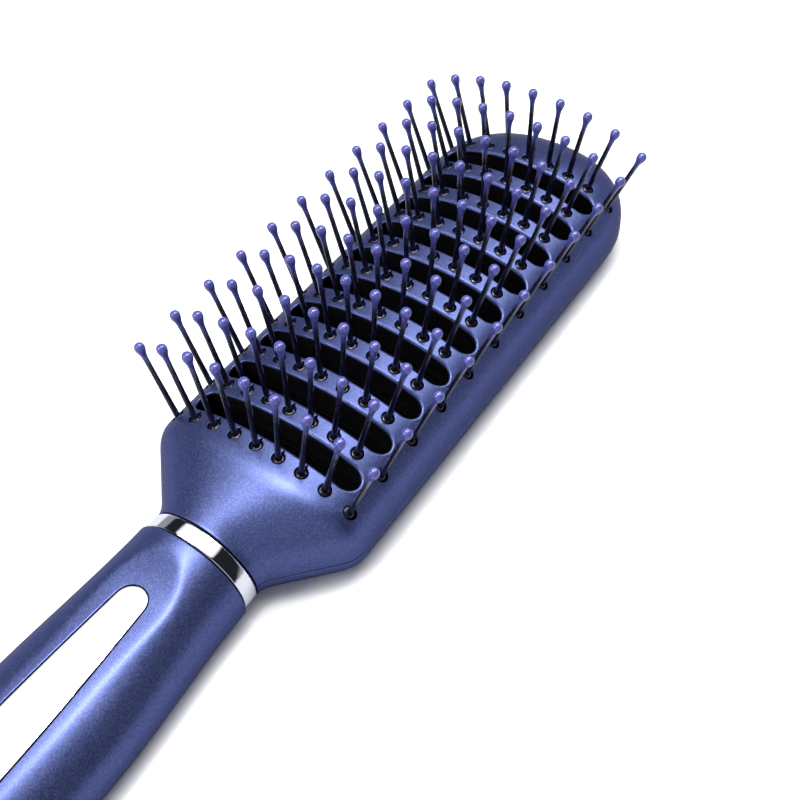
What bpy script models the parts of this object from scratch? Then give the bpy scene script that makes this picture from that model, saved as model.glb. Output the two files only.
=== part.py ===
"""Vent brush with a domed two-shell head, eleven rows of ball-tipped pins and a hollow handle.

The brush lies on its back. +X runs from the butt of the handle to the tip of the head, the pins
point up along +Z, and Z is zero on the flat back that the brush rests on. X is zero halfway
along the brush and Y is zero on its plane of symmetry.

The head is a front shell and a back shell that meet at the widest line of the head. Ten vents run
right through it. Eleven arched pin strips lie under the lands between the vents, held up by the
collars of the back shell, and their pins come out through holes in the front shell. Both shells
end in half a neck, a ring seat and a tang. The chromed ring slips over the seat, the handle over
the tang, and the inlay presses into the top of the handle.
"""

import math

import bmesh
import bpy
from mathutils import Matrix, Vector

# Clearances
GAP = 0.0003
PIN_HOLE_GAP = 0.00035
STRIP_GAP = 0.0005
OVERRUN = 0.0050

# Head
HEAD_WIDTH = 0.0492
CROWN_HEIGHT = 0.0210
PARTING_HEIGHT = 0.0065
FLAT_CUT = 0.0005
HEAD_WALL = 0.0020
TIP_MARGIN = 0.0175
TIP_ROUNDING = 0.0225
ROW_MARGIN = 0.0010
SHOULDER_LENGTH = 0.0170
DOME_POWER = 0.352
OVAL_POWER = 0.5
BACK_POWER = 3.0
OUTLINE_POWER = 2.3

# Pin field
ROW_COUNT = 11
COLUMN_COUNT = 9
ROW_PITCH = 0.0100
PIN_EDGE_MARGIN = 0.0034
PIN_FAN = math.radians(21.3)
PIN_LEAN = math.radians(2.9)

# Pins
PIN_LENGTH = 0.0168
PIN_SIDES = 6
FOOT_DIAMETER = 0.0019
SHAFT_DIAMETER = 0.0012
TOP_DIAMETER = 0.0010
BALL_DIAMETER = 0.0020
BALL_TAPER = 0.0027

# Vents
VENT_WIDTH = 0.0053
VENT_EDGE_MARGIN = 0.00495
VENT_CORNERS = 12
COLLAR_WALL = 0.0010
COLLAR_SINK = 0.0003

# Pin strips
STRIP_EDGE_MARGIN = 0.0032
STRIP_DEPTH = 0.0077

# Neck, ring and tang
NECK_WIDTH = 0.0246
NECK_RISE = 0.0110
NECK_LIFT = 0.0006
RING_WIDTH = 0.0034
RING_THICKNESS = 0.0015
RING_BEVEL = 0.0003
TANG_LENGTH = 0.0340
TANG_SIDE_STEP = 0.0015
TANG_TOP_STEP = 0.0040
TANG_LOW_STEP = 0.0005

# Locating posts between the two shells of the head
POST_DIAMETER = 0.0030
POST_RISE = 0.0050
SOCKET_WALL = 0.0015
TIP_POST_MARGIN = 0.0100
SHOULDER_POST_MARGIN = 0.0070
POST_SPREAD = 0.0200
POST_SIDES = 12

# Handle
HANDLE_LENGTH = 0.1080
HANDLE_WIDTH = 0.0300
HANDLE_RISE = 0.0094
HANDLE_STEP = 0.0005
SWELL_LENGTH = 0.0370
DIP_LENGTH = 0.0160
BUTT_LENGTH = 0.0130
BUTT_WALL = 0.0140
BUTT_WIDTH_SHARE = 0.74
BUTT_RISE_SHARE = 0.92
BUTT_FLAT_SHARE = 0.995
BUTT_POWER = 2.4
TAPER_POWER = 1.6
TOP_POWER = 0.42
HANDLE_STATIONS = 14

# Handle inlay
INLAY_START = 0.0105
INLAY_BUTT_MARGIN = 0.0155
INLAY_DEPTH = 0.0017
INLAY_END_WIDTH = 0.0068
INLAY_WIDTH = 0.0100
INLAY_STEPS = 12
INLAY_TURN_STEPS = 6
PEG_DIAMETER = 0.0024
PEG_LENGTH = 0.0010
PEG_INSET = 0.0160
PEG_SIDES = 10

# Levels of the section grids, as shares of the way from the spine to the outline. The grid
# lines of the face pass between the pin holes or through their centres.
FACE_LEVEL_SHARES = (0.0, 0.108, 0.323, 0.539, 0.732, 0.862, 0.943, 0.986, 1.0)
OVAL_LEVEL_SHARES = (0.0, 0.309, 0.588, 0.809, 0.940, 1.0)
BACK_LEVEL_SHARES = (0.766, 0.899, 0.972, 1.0)
TIP_ANGLES = (15.0, 30.0, 42.0, 52.0, 62.0, 75.0, 90.0)
BUTT_ANGLES = (0.0, 22.0, 42.0, 60.0, 75.0, 90.0)

# Places along X, from the butt of the handle to the tip of the head
PIN_FIELD_LENGTH = (ROW_COUNT - 1) * ROW_PITCH
HEAD_LENGTH = SHOULDER_LENGTH + ROW_MARGIN + PIN_FIELD_LENGTH + TIP_MARGIN
BRUSH_LENGTH = HEAD_LENGTH + GAP + RING_WIDTH + GAP + HANDLE_LENGTH
TIP_X = BRUSH_LENGTH / 2.0
BUTT_X = -TIP_X
FIRST_ROW_X = TIP_X - TIP_MARGIN - PIN_FIELD_LENGTH
ROUNDING_X = TIP_X - TIP_ROUNDING
SHOULDER_X = FIRST_ROW_X - ROW_MARGIN
NECK_X = SHOULDER_X - SHOULDER_LENGTH
RING_X = NECK_X - GAP - RING_WIDTH
MOUTH_X = RING_X - GAP
TANG_END_X = MOUTH_X - TANG_LENGTH
INLAY_X = MOUTH_X - INLAY_START

# Sizes that follow from the ones above
HALF_WIDTH = HEAD_WIDTH / 2.0
DOME_RISE = CROWN_HEIGHT - PARTING_HEIGHT
BACK_DROP = PARTING_HEIGHT + FLAT_CUT
NECK_DROP = PARTING_HEIGHT - NECK_LIFT
OUTER_COLUMN_Y = HALF_WIDTH - PIN_EDGE_MARGIN
HOLE_DIAMETER = FOOT_DIAMETER + 2.0 * PIN_HOLE_GAP
VENT_RUN = HEAD_WIDTH - 2.0 * VENT_EDGE_MARGIN - VENT_WIDTH
STRIP_WIDTH = ROW_PITCH - VENT_WIDTH - GAP
STRIP_LENGTH = HEAD_WIDTH - 2.0 * STRIP_EDGE_MARGIN
SEAT_INSET = RING_THICKNESS + GAP
SEAT_HALF = NECK_WIDTH / 2.0 - SEAT_INSET
SEAT_RISE = NECK_RISE - SEAT_INSET
SEAT_DROP = NECK_DROP - SEAT_INSET
TANG_HALF = SEAT_HALF - TANG_SIDE_STEP
TANG_RISE = SEAT_RISE - TANG_TOP_STEP
TANG_DROP = SEAT_DROP - TANG_LOW_STEP
INLAY_LENGTH = HANDLE_LENGTH - INLAY_START - INLAY_BUTT_MARGIN
INLAY_SEAT_HEIGHT = PARTING_HEIGHT + HANDLE_RISE - INLAY_DEPTH


def smoothstep(share):
    """Ease from 0 to 1 with level ends."""
    share = min(max(share, 0.0), 1.0)
    return share * share * (3.0 - 2.0 * share)


def blend(start, end, share):
    return start + (end - start) * share


def head_sizes(x):
    """Half width, rise, drop and dome power of the head's section at x, before the tip rounds."""
    ease = smoothstep((SHOULDER_X - x) / SHOULDER_LENGTH)
    return (
        blend(HALF_WIDTH, NECK_WIDTH / 2.0, ease),
        blend(DOME_RISE, NECK_RISE, ease),
        blend(BACK_DROP, NECK_DROP, ease),
        blend(DOME_POWER, OVAL_POWER, ease),
    )


def outline_level(x, y):
    """How far out a point lies: 0 on the spine of the head, 1 on its outline."""
    if x <= ROUNDING_X:
        return abs(y) / head_sizes(x)[0]
    across = (abs(y) / HALF_WIDTH) ** OUTLINE_POWER
    along = ((x - ROUNDING_X) / TIP_ROUNDING) ** OUTLINE_POWER
    return (across + along) ** (1.0 / OUTLINE_POWER)


def outline_half(x):
    """Half width of the head's outline at x."""
    if x <= ROUNDING_X:
        return head_sizes(x)[0]
    along = ((x - ROUNDING_X) / TIP_ROUNDING) ** OUTLINE_POWER
    return HALF_WIDTH * max(0.0, 1.0 - along) ** (1.0 / OUTLINE_POWER)


def dome(level, rise, power):
    """Height of an upper surface at a level between spine and outline."""
    return PARTING_HEIGHT + rise * max(0.0, 1.0 - level * level) ** power


def bowl(level, drop):
    """Height of a lower surface, cut flat where it would pass the resting plane."""
    depth = drop * max(0.0, 1.0 - level ** BACK_POWER) ** (1.0 / BACK_POWER)
    return max(0.0, PARTING_HEIGHT - depth)


def bowl_levels():
    """Levels of the grid on a lower surface, with one on the edge of its flat."""
    flat = (1.0 - (PARTING_HEIGHT / BACK_DROP) ** BACK_POWER) ** (1.0 / BACK_POWER)
    return (0.0, flat / 2.0, flat) + BACK_LEVEL_SHARES


def face_height(x, y):
    """Height of the pin face at a point of the plan."""
    half, rise, drop, power = head_sizes(x)
    return dome(outline_level(x, y), rise, power)


def height_under_face(x, y, depth):
    """Greatest height at a point of the plan that keeps a distance from the pin face."""
    height = face_height(x, y) - depth
    rings = 6
    directions = 12
    for ring in range(1, rings + 1):
        reach = depth * ring / rings
        drop = math.sqrt(max(0.0, depth * depth - reach * reach))
        for step in range(directions):
            angle = math.tau * step / directions
            near = face_height(x + reach * math.cos(angle), y + reach * math.sin(angle))
            height = min(height, near - drop)
    return height


def row_x(row):
    return FIRST_ROW_X + row * ROW_PITCH


def vent_x(vent):
    return row_x(vent) + ROW_PITCH / 2.0


def column_share(column):
    """Place of a column from -1 at one side of the pin field to 1 at the other."""
    return 2.0 * column / (COLUMN_COUNT - 1) - 1.0


def new_collection(name):
    collection = bpy.data.collections.new(name)
    bpy.context.scene.collection.children.link(collection)
    return collection


def new_object(name, bm, collection, materials=()):
    """Write a bmesh to a new object."""
    mesh = bpy.data.meshes.new(name)
    bm.to_mesh(mesh)
    bm.free()
    for material in materials:
        mesh.materials.append(material)
    obj = bpy.data.objects.new(name, mesh)
    collection.objects.link(obj)
    return obj


def new_body(name, bm, collection, materials=()):
    """Write a closed bmesh to a new object with its faces turned out."""
    bmesh.ops.remove_doubles(bm, verts=bm.verts, dist=GAP / 100.0)
    bmesh.ops.recalc_face_normals(bm, faces=bm.faces)
    return new_object(name, bm, collection, materials)


def new_cutter(name, bm, cutters, materials=()):
    """A body that only cuts or joins others."""
    cutter = new_body(name, bm, cutters, materials)
    cutter.hide_render = True
    cutter.display_type = "WIRE"
    return cutter


def smooth(obj, angle=math.radians(35.0)):
    """Shade an object smooth, with the edges over the angle kept sharp."""
    obj.data.shade_smooth()
    obj.data.set_sharp_from_angle(angle=angle)


def new_material(name, color, roughness, metallic=0.0, coat=0.0):
    material = bpy.data.materials.new(name)
    material.use_nodes = True
    shader = material.node_tree.nodes["Principled BSDF"]
    shader.inputs["Base Color"].default_value = (*color, 1.0)
    shader.inputs["Roughness"].default_value = roughness
    shader.inputs["Metallic"].default_value = metallic
    shader.inputs["Coat Weight"].default_value = coat
    material.diffuse_color = (*color, 1.0)
    return material


def violet_satin():
    return new_material("violet_satin", (0.105, 0.110, 0.330), 0.38, 0.45)


def black_nylon():
    return new_material("black_nylon", (0.006, 0.006, 0.012), 0.22)


def violet_lacquer():
    return new_material("violet_lacquer", (0.155, 0.115, 0.420), 0.18, 0.0, 0.5)


def mirror_chrome():
    return new_material("mirror_chrome", (0.780, 0.790, 0.800), 0.06, 1.0)


def add_boolean(obj, tool, operation):
    modifier = obj.modifiers.new(f"{operation.lower()}_{tool.name}", "BOOLEAN")
    modifier.operation = operation
    modifier.object = tool
    modifier.solver = "EXACT"


def add_bands(bm, rings, closed=True):
    """Join rings of points, each as long as the others, with bands of quads."""
    loops = [[bm.verts.new(point) for point in ring] for ring in rings]
    count = len(loops[0])
    for near, far in zip(loops, loops[1:]):
        for index in range(count if closed else count - 1):
            after = (index + 1) % count
            bm.faces.new((near[index], near[after], far[after], far[index]))
    return loops


def add_loft(bm, rings):
    """A closed body through a row of rings of points."""
    loops = add_bands(bm, rings)
    bm.faces.new(loops[0])
    bm.faces.new(loops[-1])


def add_prism(bm, outline, travel):
    """A closed body that carries a flat outline along a straight travel."""
    face = bm.faces.new([bm.verts.new(point) for point in outline])
    lifted = bmesh.ops.extrude_face_region(bm, geom=[face], use_keep_orig=True)["geom"]
    moved = [item for item in lifted if isinstance(item, bmesh.types.BMVert)]
    bmesh.ops.translate(bm, verts=moved, vec=travel)


def add_block(bm, low, high):
    """A box between two corners."""
    verts = bmesh.ops.create_cube(bm, size=1.0)["verts"]
    bmesh.ops.scale(bm, verts=verts, vec=[top - bottom for bottom, top in zip(low, high)])
    bmesh.ops.translate(bm, verts=verts, vec=[(bottom + top) / 2.0 for bottom, top in zip(low, high)])


def add_bar(bm, x, y, diameter, bottom, top, sides):
    """An upright round bar, turned so that none of its corners is on its own middle lines."""
    half_side = Matrix.Rotation(math.pi / sides, 4, "Z")
    return bmesh.ops.create_cone(
        bm,
        cap_ends=True,
        cap_tris=True,
        segments=sides,
        radius1=diameter / 2.0,
        radius2=diameter / 2.0,
        depth=top - bottom,
        matrix=Matrix.Translation((x, y, (bottom + top) / 2.0)) @ half_side,
    )["verts"]


def shell_columns():
    """Columns of the shells' grid, from one end of the tang round the tip to the other.

    Each is the plan of its spine point, the plan of its outline point, and its section sizes.
    """
    seat = (SEAT_HALF, SEAT_RISE, SEAT_DROP, OVAL_POWER)
    tang = (TANG_HALF, TANG_RISE, TANG_DROP, OVAL_POWER)
    side = [(TANG_END_X, tang), (RING_X, tang), (RING_X, seat), (NECK_X, seat)]
    shoulder_steps = 7
    for step in range(shoulder_steps + 1):
        x = NECK_X + SHOULDER_LENGTH * step / shoulder_steps
        side.append((x, head_sizes(x)))
    vents = [vent_x(vent) for vent in range(0, ROW_COUNT - 1, 3)]
    side += [(x, head_sizes(x)) for x in vents if x < ROUNDING_X - GAP]
    side.append((ROUNDING_X, head_sizes(ROUNDING_X)))
    columns = [((x, 0.0), (x, -sizes[0]), sizes) for x, sizes in side]
    angles = [math.radians(angle) for angle in TIP_ANGLES]
    angles += [math.pi - angle for angle in reversed(angles[:-1])]
    for angle in angles:
        along = math.sin(angle) ** (2.0 / OUTLINE_POWER)
        across = math.copysign(abs(math.cos(angle)) ** (2.0 / OUTLINE_POWER), math.cos(angle))
        outline = (ROUNDING_X + TIP_ROUNDING * along, -HALF_WIDTH * across)
        columns.append(((ROUNDING_X, 0.0), outline, head_sizes(ROUNDING_X)))
    columns += [((x, 0.0), (x, sizes[0]), sizes) for x, sizes in reversed(side)]
    return columns


def shell_surface(name, levels, height, up, parts, material):
    """Open surface of one half of the head, from its spine out to its outline.

    height gives the surface's height from a level and a section's sizes, and up says which way
    the outside faces.
    """
    rings = []
    for spine, outline, sizes in shell_columns():
        ring = []
        for level in levels:
            x = blend(spine[0], outline[0], level)
            y = blend(spine[1], outline[1], level)
            ring.append((x, y, height(level, sizes)))
        rings.append(ring)
    bm = bmesh.new()
    loops = add_bands(bm, rings, closed=False)
    centre = bm.verts.new((TANG_END_X, 0.0, PARTING_HEIGHT))
    for loop in (loops[0], loops[-1]):
        for inner, outer in zip(loop, loop[1:]):
            bm.faces.new((centre, inner, outer))
    bmesh.ops.remove_doubles(bm, verts=bm.verts, dist=GAP / 100.0)
    bmesh.ops.recalc_face_normals(bm, faces=bm.faces)
    facing = sum(face.normal.z * face.calc_area() for face in bm.faces)
    if (facing > 0.0) != up:
        bmesh.ops.reverse_faces(bm, faces=bm.faces)
    shell = new_object(name, bm, parts, [material])
    wall = shell.modifiers.new("wall", "SOLIDIFY")
    wall.thickness = HEAD_WALL
    wall.offset = -1.0
    wall.use_even_offset = True
    return shell


def dome_height(level, sizes):
    return dome(level, sizes[1], sizes[3])


def bowl_height(level, sizes):
    return bowl(level, sizes[2])


def add_stadium(bm, x, diameter, bottom, top):
    """An upright prism with round ends that lies across the head."""
    turn = math.pi / VENT_CORNERS
    radius = diameter / 2.0 / math.cos(turn)
    outline = []
    for corner in range(VENT_CORNERS):
        angle = turn * (2 * corner + 1)
        shift = math.copysign(VENT_RUN / 2.0, math.sin(angle))
        outline.append((x + radius * math.cos(angle), shift + radius * math.sin(angle), bottom))
    add_prism(bm, outline, (0.0, 0.0, top - bottom))


def vent_cutter(cutters):
    bm = bmesh.new()
    for vent in range(ROW_COUNT - 1):
        add_stadium(bm, vent_x(vent), VENT_WIDTH, -OVERRUN, CROWN_HEIGHT + OVERRUN)
    return new_cutter("vent_cutter", bm, cutters)


def pin_frame(row, column):
    """Placement of a pin: its origin on the pin face and its Z along the shaft."""
    share = column_share(column)
    x, y = row_x(row), OUTER_COLUMN_Y * share
    fan = PIN_FAN * share
    level = math.cos(PIN_LEAN)
    along = Vector((math.sin(PIN_LEAN), math.sin(fan) * level, math.cos(fan) * level))
    turn = along.to_track_quat("Z", "Y").to_matrix().to_4x4()
    half_side = Matrix.Rotation(math.pi / PIN_SIDES, 4, "Z")
    return Matrix.Translation((x, y, face_height(x, y))) @ turn @ half_side


def hole_cutter(cutters):
    bm = bmesh.new()
    for row in range(ROW_COUNT):
        for column in range(COLUMN_COUNT):
            bmesh.ops.create_cone(
                bm,
                cap_ends=True,
                segments=PIN_SIDES,
                radius1=HOLE_DIAMETER / 2.0,
                radius2=HOLE_DIAMETER / 2.0,
                depth=2.0 * OVERRUN,
                matrix=pin_frame(row, column),
            )
    return new_cutter("hole_cutter", bm, cutters)


def post_places():
    """Centres of the locating posts: one behind the tip and two in the shoulder."""
    shoulder = SHOULDER_X - SHOULDER_POST_MARGIN
    return ((TIP_X - TIP_POST_MARGIN, 0.0), (shoulder, POST_SPREAD / 2.0), (shoulder, -POST_SPREAD / 2.0))


def socket_body(cutters):
    """Blocks for the sockets, from the parting line up into the sloping wall of the face."""
    diameter = POST_DIAMETER + 2.0 * (GAP + SOCKET_WALL)
    bm = bmesh.new()
    middle = (PARTING_HEIGHT + CROWN_HEIGHT) / 2.0
    for x, y in post_places():
        for vert in add_bar(bm, x, y, diameter, PARTING_HEIGHT, CROWN_HEIGHT, POST_SIDES):
            if vert.co.z > middle:
                vert.co.z = face_height(vert.co.x, vert.co.y) - HEAD_WALL / 2.0
    return new_cutter("socket_body", bm, cutters)


def post_cutter(name, gap, bottom, cutters):
    """The locating posts, or with a gap the bores that they go in."""
    bm = bmesh.new()
    for x, y in post_places():
        add_bar(bm, x, y, POST_DIAMETER + 2.0 * gap, bottom, PARTING_HEIGHT + POST_RISE + gap, POST_SIDES)
    return new_cutter(name, bm, cutters)


def trim_cutter(name, bottom, top, cutters):
    """A slab as wide and long as the head and its tang."""
    bm = bmesh.new()
    add_block(bm, (BUTT_X, -HEAD_WIDTH, bottom), (TIP_X + OVERRUN, HEAD_WIDTH, top))
    return new_cutter(name, bm, cutters)


def head_front_shell(parts, cutters, vents, material):
    """Domed face with the pin holes and vents, with half of the neck and tang."""
    shell = shell_surface("head_front_shell", FACE_LEVEL_SHARES, dome_height, True, parts, material)
    rim = PARTING_HEIGHT + GAP / 2.0
    add_boolean(shell, socket_body(cutters), "UNION")
    add_boolean(shell, trim_cutter("below_parting", -CROWN_HEIGHT, rim, cutters), "DIFFERENCE")
    add_boolean(shell, post_cutter("post_bores", GAP, -OVERRUN, cutters), "DIFFERENCE")
    add_boolean(shell, vents, "DIFFERENCE")
    add_boolean(shell, hole_cutter(cutters), "DIFFERENCE")
    smooth(shell)


def arch_bends():
    """Distances from the middle at which the strips' arch bends: halfway between the pin columns."""
    gaps = COLUMN_COUNT - 1
    return [OUTER_COLUMN_Y * (2 * count + 1) / gaps for count in range(gaps // 2)]


def strip_underside(y):
    """Height of the strips' underside, an arch in straight steps."""
    places = arch_bends() + [STRIP_LENGTH / 2.0]
    y = min(max(abs(y), places[0]), places[-1])
    near, far = next(pair for pair in zip(places, places[1:]) if y <= pair[1])
    low, high = (dome(place / HALF_WIDTH, DOME_RISE, DOME_POWER) for place in (near, far))
    return blend(low, high, (y - near) / (far - near)) - STRIP_DEPTH


def arch_places(half):
    """Places across the head where the arch bends, out to half a length on each side."""
    inner = [bend for bend in arch_bends() if bend < half - GAP]
    return [-half] + [-bend for bend in reversed(inner)] + inner + [half]


def collar_body(cutters):
    """Collars round the vents and a rib beyond each end row, up to the strips' underside."""
    bottom = HEAD_WALL - COLLAR_SINK
    first = row_x(0) - STRIP_WIDTH / 2.0
    last = row_x(ROW_COUNT - 1) + STRIP_WIDTH / 2.0
    bm = bmesh.new()
    for vent in range(ROW_COUNT - 1):
        add_stadium(bm, vent_x(vent), VENT_WIDTH + 2.0 * COLLAR_WALL, bottom, CROWN_HEIGHT)
    for low in (first, last - COLLAR_WALL):
        add_block(bm, (low, -VENT_RUN / 2.0, bottom), (low + COLLAR_WALL, VENT_RUN / 2.0, CROWN_HEIGHT))
    collars = new_cutter("collar_body", bm, cutters)
    arch = [(y, strip_underside(y) - GAP) for y in arch_places(STRIP_LENGTH / 2.0)]
    side = STRIP_LENGTH / 2.0 + OVERRUN
    top = CROWN_HEIGHT + OVERRUN
    outline = [(-side, top), (-side, arch[0][1])] + arch + [(side, arch[-1][1]), (side, top)]
    start = row_x(0) - OVERRUN
    bm = bmesh.new()
    add_prism(bm, [(start, y, z) for y, z in outline], (PIN_FIELD_LENGTH + 2.0 * OVERRUN, 0.0, 0.0))
    add_boolean(collars, new_cutter("strip_space", bm, cutters), "DIFFERENCE")
    return collars


def head_back_shell(parts, cutters, vents, material):
    """Flat back with the vents and their collars, with the other half of the neck and tang."""
    shell = shell_surface("head_back_shell", bowl_levels(), bowl_height, False, parts, material)
    rim = PARTING_HEIGHT - GAP / 2.0
    add_boolean(shell, trim_cutter("above_parting", rim, CROWN_HEIGHT + OVERRUN, cutters), "DIFFERENCE")
    add_boolean(shell, collar_body(cutters), "UNION")
    add_boolean(shell, post_cutter("posts", 0.0, HEAD_WALL - COLLAR_SINK, cutters), "UNION")
    add_boolean(shell, vents, "DIFFERENCE")
    smooth(shell)


def pin_mesh(cutters, materials):
    """One pin with its foot, tapered shaft and ball tip, turned from its profile."""
    ball = BALL_DIAMETER / 2.0
    foot_end = -(HEAD_WALL + STRIP_DEPTH) / 2.0
    profile = [
        (0.0, PIN_LENGTH + ball),
        (ball, PIN_LENGTH),
        (TOP_DIAMETER / 2.0, PIN_LENGTH - BALL_TAPER),
        (SHAFT_DIAMETER / 2.0, 0.0),
        (FOOT_DIAMETER / 2.0, foot_end),
        (0.0, foot_end),
    ]
    bm = bmesh.new()
    verts = [bm.verts.new((radius, 0.0, height)) for radius, height in profile]
    for upper, lower in zip(verts, verts[1:]):
        bm.edges.new((upper, lower))
    outline = new_object("pin_profile", bm, cutters, materials)
    screw = outline.modifiers.new("turn", "SCREW")
    screw.axis = "Z"
    screw.steps = PIN_SIDES
    screw.render_steps = PIN_SIDES
    screw.use_merge_vertices = True
    screw.merge_threshold = GAP / 10.0
    graph = bpy.context.evaluated_depsgraph_get()
    turned = bpy.data.meshes.new_from_object(outline.evaluated_get(graph))
    profile_mesh = outline.data
    bpy.data.objects.remove(outline)
    bpy.data.meshes.remove(profile_mesh)
    for face in turned.polygons:
        face.material_index = 1 if face.center.z > PIN_LENGTH - BALL_TAPER else 0
    return turned


def add_strip_bar(bm, row):
    """Arched bar that lies under one land of the face."""
    low, high = row_x(row) - STRIP_WIDTH / 2.0, row_x(row) + STRIP_WIDTH / 2.0
    half = min(outline_half(low), outline_half(high)) - STRIP_EDGE_MARGIN
    rings = []
    for y in arch_places(half):
        bottom = strip_underside(y)
        top = min(height_under_face(x, y, HEAD_WALL + STRIP_GAP) for x in (low, high))
        rings.append([(low, y, bottom), (high, y, bottom), (high, y, top), (low, y, top)])
    add_loft(bm, rings)


def pin_row(row, pin, parts, cutters, materials):
    """One nylon strip with its pins."""
    name = f"pin_row_{row + 1:02d}"
    bm = bmesh.new()
    add_strip_bar(bm, row)
    strip = new_body(name, bm, parts, materials)
    bm = bmesh.new()
    for column in range(COLUMN_COUNT):
        copy = pin.copy()
        copy.transform(pin_frame(row, column))
        bm.from_mesh(copy)
        bpy.data.meshes.remove(copy)
    add_boolean(strip, new_cutter(f"{name}_pins", bm, cutters, materials), "UNION")
    smooth(strip)


def oval(x, half, rise, drop, power):
    """Closed section across the brush, an egg-shaped oval about the parting height."""
    upper = [(half * level, dome(level, rise, power)) for level in OVAL_LEVEL_SHARES]
    lower = [(half * level, bowl(level, drop)) for level in reversed(bowl_levels())]
    side = upper + lower[1:]
    other = [(-y, z) for y, z in reversed(side[1:-1])]
    return [(x, y, z) for y, z in side + other]


def neck_ring(parts, cutters, material):
    """Chromed band between the head and the handle, with its outer edges broken."""
    half = NECK_WIDTH / 2.0
    bm = bmesh.new()
    add_prism(bm, oval(RING_X, half, NECK_RISE, NECK_DROP, OVAL_POWER), (RING_WIDTH, 0.0, 0.0))
    ring = new_body("neck_ring", bm, parts, [material])
    bevel = ring.modifiers.new("edges", "BEVEL")
    bevel.width = RING_BEVEL
    bevel.segments = 1
    bevel.limit_method = "ANGLE"
    bevel.angle_limit = math.radians(60.0)
    inner = oval(
        RING_X - OVERRUN, half - RING_THICKNESS, NECK_RISE - RING_THICKNESS, NECK_DROP - RING_THICKNESS, OVAL_POWER
    )
    bm = bmesh.new()
    add_prism(bm, inner, (RING_WIDTH + 2.0 * OVERRUN, 0.0, 0.0))
    add_boolean(ring, new_cutter("ring_bore", bm, cutters), "DIFFERENCE")
    smooth(ring)


def handle_section(distance):
    """Section of the handle at a distance from its mouth.

    The mouth stands one step out from the neck ring. Behind it the sides swell and the top dips
    to the handle's own height, and then both taper to the rounded butt.
    """
    swell = smoothstep(distance / SWELL_LENGTH)
    dip = smoothstep(distance / DIP_LENGTH)
    run = HANDLE_LENGTH - SWELL_LENGTH
    taper = max(0.0, (distance - SWELL_LENGTH) / run) ** TAPER_POWER
    past = max(0.0, (distance - HANDLE_LENGTH + BUTT_LENGTH) / BUTT_LENGTH)
    end = (1.0 - min(past, BUTT_FLAT_SHARE) ** BUTT_POWER) ** (1.0 / BUTT_POWER)
    half = blend(NECK_WIDTH / 2.0 + HANDLE_STEP, HANDLE_WIDTH / 2.0, swell)
    rise = blend(NECK_RISE + HANDLE_STEP, HANDLE_RISE, dip)
    drop = blend(NECK_DROP + HANDLE_STEP, BACK_DROP, swell)
    return oval(
        MOUTH_X - distance,
        half * blend(1.0, BUTT_WIDTH_SHARE, taper) * end,
        rise * blend(1.0, BUTT_RISE_SHARE, taper) * end,
        drop * end,
        blend(OVAL_POWER, TOP_POWER, swell),
    )


def add_handle_body(bm):
    """The outside of the handle as a solid, closer together in sections where it bends more."""
    dip = [DIP_LENGTH * step / 4.0 for step in range(4)]
    run = HANDLE_LENGTH - BUTT_LENGTH - DIP_LENGTH
    middle = [DIP_LENGTH + run * step / HANDLE_STATIONS for step in range(HANDLE_STATIONS)]
    butt = [HANDLE_LENGTH - BUTT_LENGTH * (1.0 - math.sin(math.radians(angle))) for angle in BUTT_ANGLES]
    add_loft(bm, [handle_section(distance) for distance in dip + middle + butt])


def leaf_outline(inset):
    """Plan outline of the inlay: round ends joined by gently swelling sides."""
    radius = INLAY_END_WIDTH / 2.0
    swell = (INLAY_WIDTH - INLAY_END_WIDTH) / 2.0
    head, butt = INLAY_X - radius, INLAY_X - INLAY_LENGTH + radius
    side = []
    for step in range(INLAY_STEPS + 1):
        share = step / INLAY_STEPS
        side.append((blend(head, butt, share), radius + swell * math.sin(math.pi * share) - inset))
    turns = [math.pi * step / INLAY_TURN_STEPS for step in range(1, INLAY_TURN_STEPS)]
    reach = radius - inset
    round_butt = [(butt - reach * math.sin(turn), reach * math.cos(turn)) for turn in turns]
    round_head = [(head + reach * math.sin(turn), -reach * math.cos(turn)) for turn in turns]
    other = [(x, -y) for x, y in reversed(side)]
    return side + round_butt + other + round_head


def leaf_cutter(name, inset, bottom, cutters):
    """Upright prism on the outline of the inlay."""
    bm = bmesh.new()
    outline = [(x, y, bottom) for x, y in leaf_outline(inset)]
    add_prism(bm, outline, (0.0, 0.0, CROWN_HEIGHT + OVERRUN - bottom))
    return new_cutter(name, bm, cutters)


def peg_cutter(name, gap, top, cutters):
    """The two pegs of the inlay, or with a gap the holes that they go in."""
    bm = bmesh.new()
    for x in (INLAY_X - PEG_INSET, INLAY_X - INLAY_LENGTH + PEG_INSET):
        add_bar(bm, x, 0.0, PEG_DIAMETER + 2.0 * gap, INLAY_SEAT_HEIGHT - PEG_LENGTH - gap, top, PEG_SIDES)
    return new_cutter(name, bm, cutters)


def handle_shell(parts, cutters, material):
    """One hollow handle with a bore for the tang and a seat for the inlay."""
    bm = bmesh.new()
    add_handle_body(bm)
    handle = new_body("handle_shell", bm, parts, [material])
    bore = oval(BUTT_X + BUTT_WALL, TANG_HALF + GAP, TANG_RISE + GAP, TANG_DROP + GAP, OVAL_POWER)
    bm = bmesh.new()
    add_prism(bm, bore, (MOUTH_X + OVERRUN - BUTT_X - BUTT_WALL, 0.0, 0.0))
    add_boolean(handle, new_cutter("handle_bore", bm, cutters), "DIFFERENCE")
    add_boolean(handle, leaf_cutter("inlay_seat", 0.0, INLAY_SEAT_HEIGHT, cutters), "DIFFERENCE")
    add_boolean(handle, peg_cutter("peg_holes", GAP, CROWN_HEIGHT, cutters), "DIFFERENCE")
    smooth(handle)


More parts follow.
